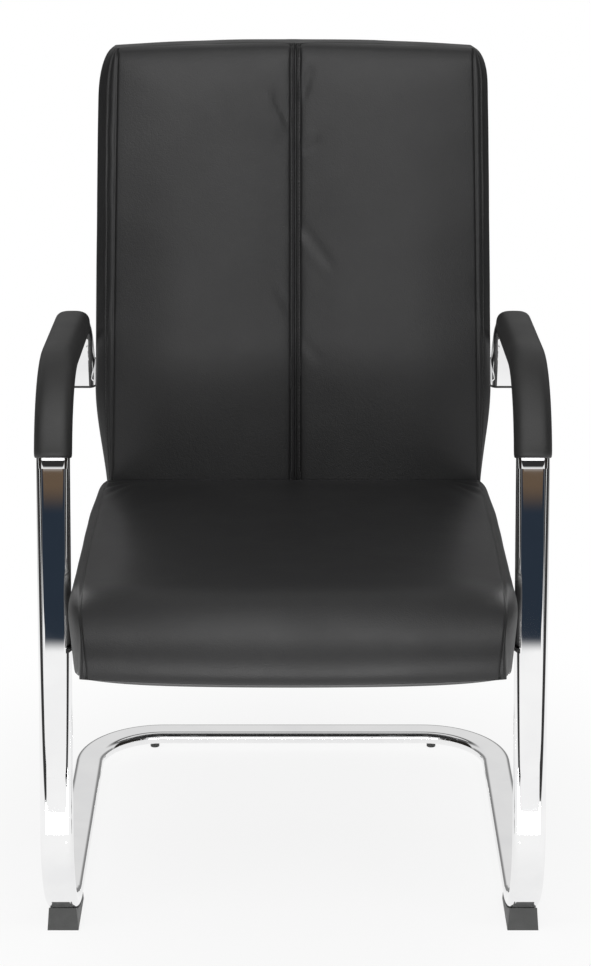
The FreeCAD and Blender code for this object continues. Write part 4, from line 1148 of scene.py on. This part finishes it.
def studio_floor():
    """Pale floor that keeps the chair's shadow and goes to plain white away from it.

    Polished metal sees it darker far to either side and behind.
    """
    bpy.ops.mesh.primitive_grid_add(x_subdivisions=8, y_subdivisions=8, size=40, location=(0, 0, 0))
    floor = bpy.context.object
    floor.name = "studio_floor"
    material, tree, surface = new_material("pale_floor")
    place = object_place(tree)
    mottle = add(tree, "ShaderNodeTexNoise", {"Vector": place, "Scale": 3.0})
    tone = blend_colour(tree, mottle.outputs["Fac"], shade(0.88), shade(0.90))
    tree.links.new(tone, surface.inputs["Base Color"])
    surface.inputs["Roughness"].default_value = 0.9
    surface.inputs["Specular IOR Level"].default_value = 0.0
    path = add(tree, "ShaderNodeLightPath").outputs
    spot = add(tree, "ShaderNodeSeparateXYZ", {0: place}).outputs
    sideways = ramp(tree, math_node(tree, "ABSOLUTE", spot["X"]), 2.0, 2.4, 0.0, 0.96)
    darker = math_node(tree, "MAXIMUM", ramp(tree, spot["Y"], 0.4, 1.4, 0.0, 0.7), sideways)
    shaded = math_node(tree, "MULTIPLY", darker, path["Is Glossy Ray"])
    white = math_node(tree, "SUBTRACT", 1.0, shaded)
    glow = add(tree, "ShaderNodeEmission", {"Color": shade(1.0), "Strength": white})
    reach = add(tree, "ShaderNodeVectorMath", {0: place}, operation="LENGTH").outputs["Value"]
    far = ramp(tree, reach, 0.30, 0.80, 0.88, 1.0)
    seen = math_node(tree, "MAXIMUM", path["Is Camera Ray"], path["Is Glossy Ray"])
    seen = math_node(tree, "MAXIMUM", seen, path["Is Transmission Ray"])
    share = math_node(tree, "MULTIPLY", far, seen)
    mixed = add(tree, "ShaderNodeMixShader", {0: share, 1: surface.outputs[0], 2: glow.outputs[0]})
    tree.links.new(mixed.outputs[0], tree.nodes["Material Output"].inputs["Surface"])
    floor.data.materials.append(material)


def studio_world():
    """White surroundings.

    Polished metal sees the studio's dark sides, and bands of tone in front of the chair.
    """
    world = bpy.data.worlds.new("studio")
    bpy.context.scene.world = world
    world.use_nodes = True
    tree = world.node_tree
    place = add(tree, "ShaderNodeTexCoord").outputs["Generated"]
    way = add(tree, "ShaderNodeSeparateXYZ", {0: place}).outputs
    height = way["Z"]
    level = math_node(tree, "SUBTRACT", 1.0, math_node(tree, "MULTIPLY", height, height))
    forward = math_node(tree, "MULTIPLY", way["Y"], -1.0)
    ahead = math_node(tree, "DIVIDE", forward, math_node(tree, "SQRT", level))
    front = ramp(tree, ahead, 0.78, 0.86)
    side = math_node(tree, "MULTIPLY", ramp(tree, ahead, 0.86, 0.78), ramp(tree, ahead, -0.35, -0.2))
    side = math_node(tree, "MULTIPLY", side, ramp(tree, height, -0.006, 0.0))
    sweep = blend_colour(tree, ramp(tree, height, 0.2, 0.4), shade(0.25), shade(0.78))
    metal = blend_colour(tree, ramp(tree, ahead, -0.2, -0.4), shade(1.0), sweep)
    for low, high, colour in FRONT_BANDS:
        band = math_node(tree, "MULTIPLY", front, ramp(tree, height, low, high))
        metal = blend_colour(tree, band, metal, shade(*colour))
    metal = blend_colour(tree, side, metal, shade(0.020, 0.018, 0.016))
    metal = blend_colour(tree, ramp(tree, height, 0.55, 0.75), metal, shade(0.10))
    around = blend_colour(tree, ramp(tree, height, 0.0, 0.8), shade(0.16), shade(0.05))
    path = add(tree, "ShaderNodeLightPath").outputs
    seen = math_node(tree, "MAXIMUM", path["Is Camera Ray"], path["Is Transmission Ray"])
    colour = blend_colour(tree, path["Is Glossy Ray"], around, metal)
    colour = blend_colour(tree, seen, colour, shade(1.0))
    sky = tree.nodes["Background"]
    tree.links.new(colour, sky.inputs["Color"])
    sky.inputs["Strength"].default_value = 1.0


def soft_lamp(name, place, aim, size, power):
    """Large lamp, out of the camera's sight."""
    lamp = bpy.data.lights.new(name, "AREA")
    lamp.shape = "RECTANGLE"
    lamp.size, lamp.size_y = size
    lamp.energy = power
    holder = bpy.data.objects.new(name, lamp)
    holder.location = place
    holder.rotation_euler = (Vector(aim) - Vector(place)).to_track_quat("-Z", "Y").to_euler()
    holder.visible_camera = False
    bpy.context.scene.collection.objects.link(holder)


def studio_camera():
    """Camera at the photograph's place."""
    camera = bpy.data.cameras.new("camera")
    camera.sensor_fit = "VERTICAL"
    camera.sensor_height = FILM_HEIGHT
    camera.lens = FOCAL_PIXELS * FILM_HEIGHT / PICTURE_HEIGHT
    camera.shift_x = SHIFT_PIXELS / PICTURE_HEIGHT
    holder = bpy.data.objects.new("camera", camera)
    holder.location = CAMERA_PLACE
    holder.rotation_euler = (math.pi / 2 - CAMERA_DOWN, 0, 0)
    bpy.context.scene.collection.objects.link(holder)
    bpy.context.scene.camera = holder


finish_solids()
seat_foam()
seat_cushion()
back_foam()
back_stitches(back_cushion())
rear_panel()
for side, sign in (("left", -1), ("right", 1)):
    arm_sleeve(side, sign)
dust_sheet()
studio_floor()
studio_world()
for name, setting in LAMPS.items():
    soft_lamp(name, *setting)
studio_camera()
bpy.context.scene.view_settings.view_transform = "Standard"
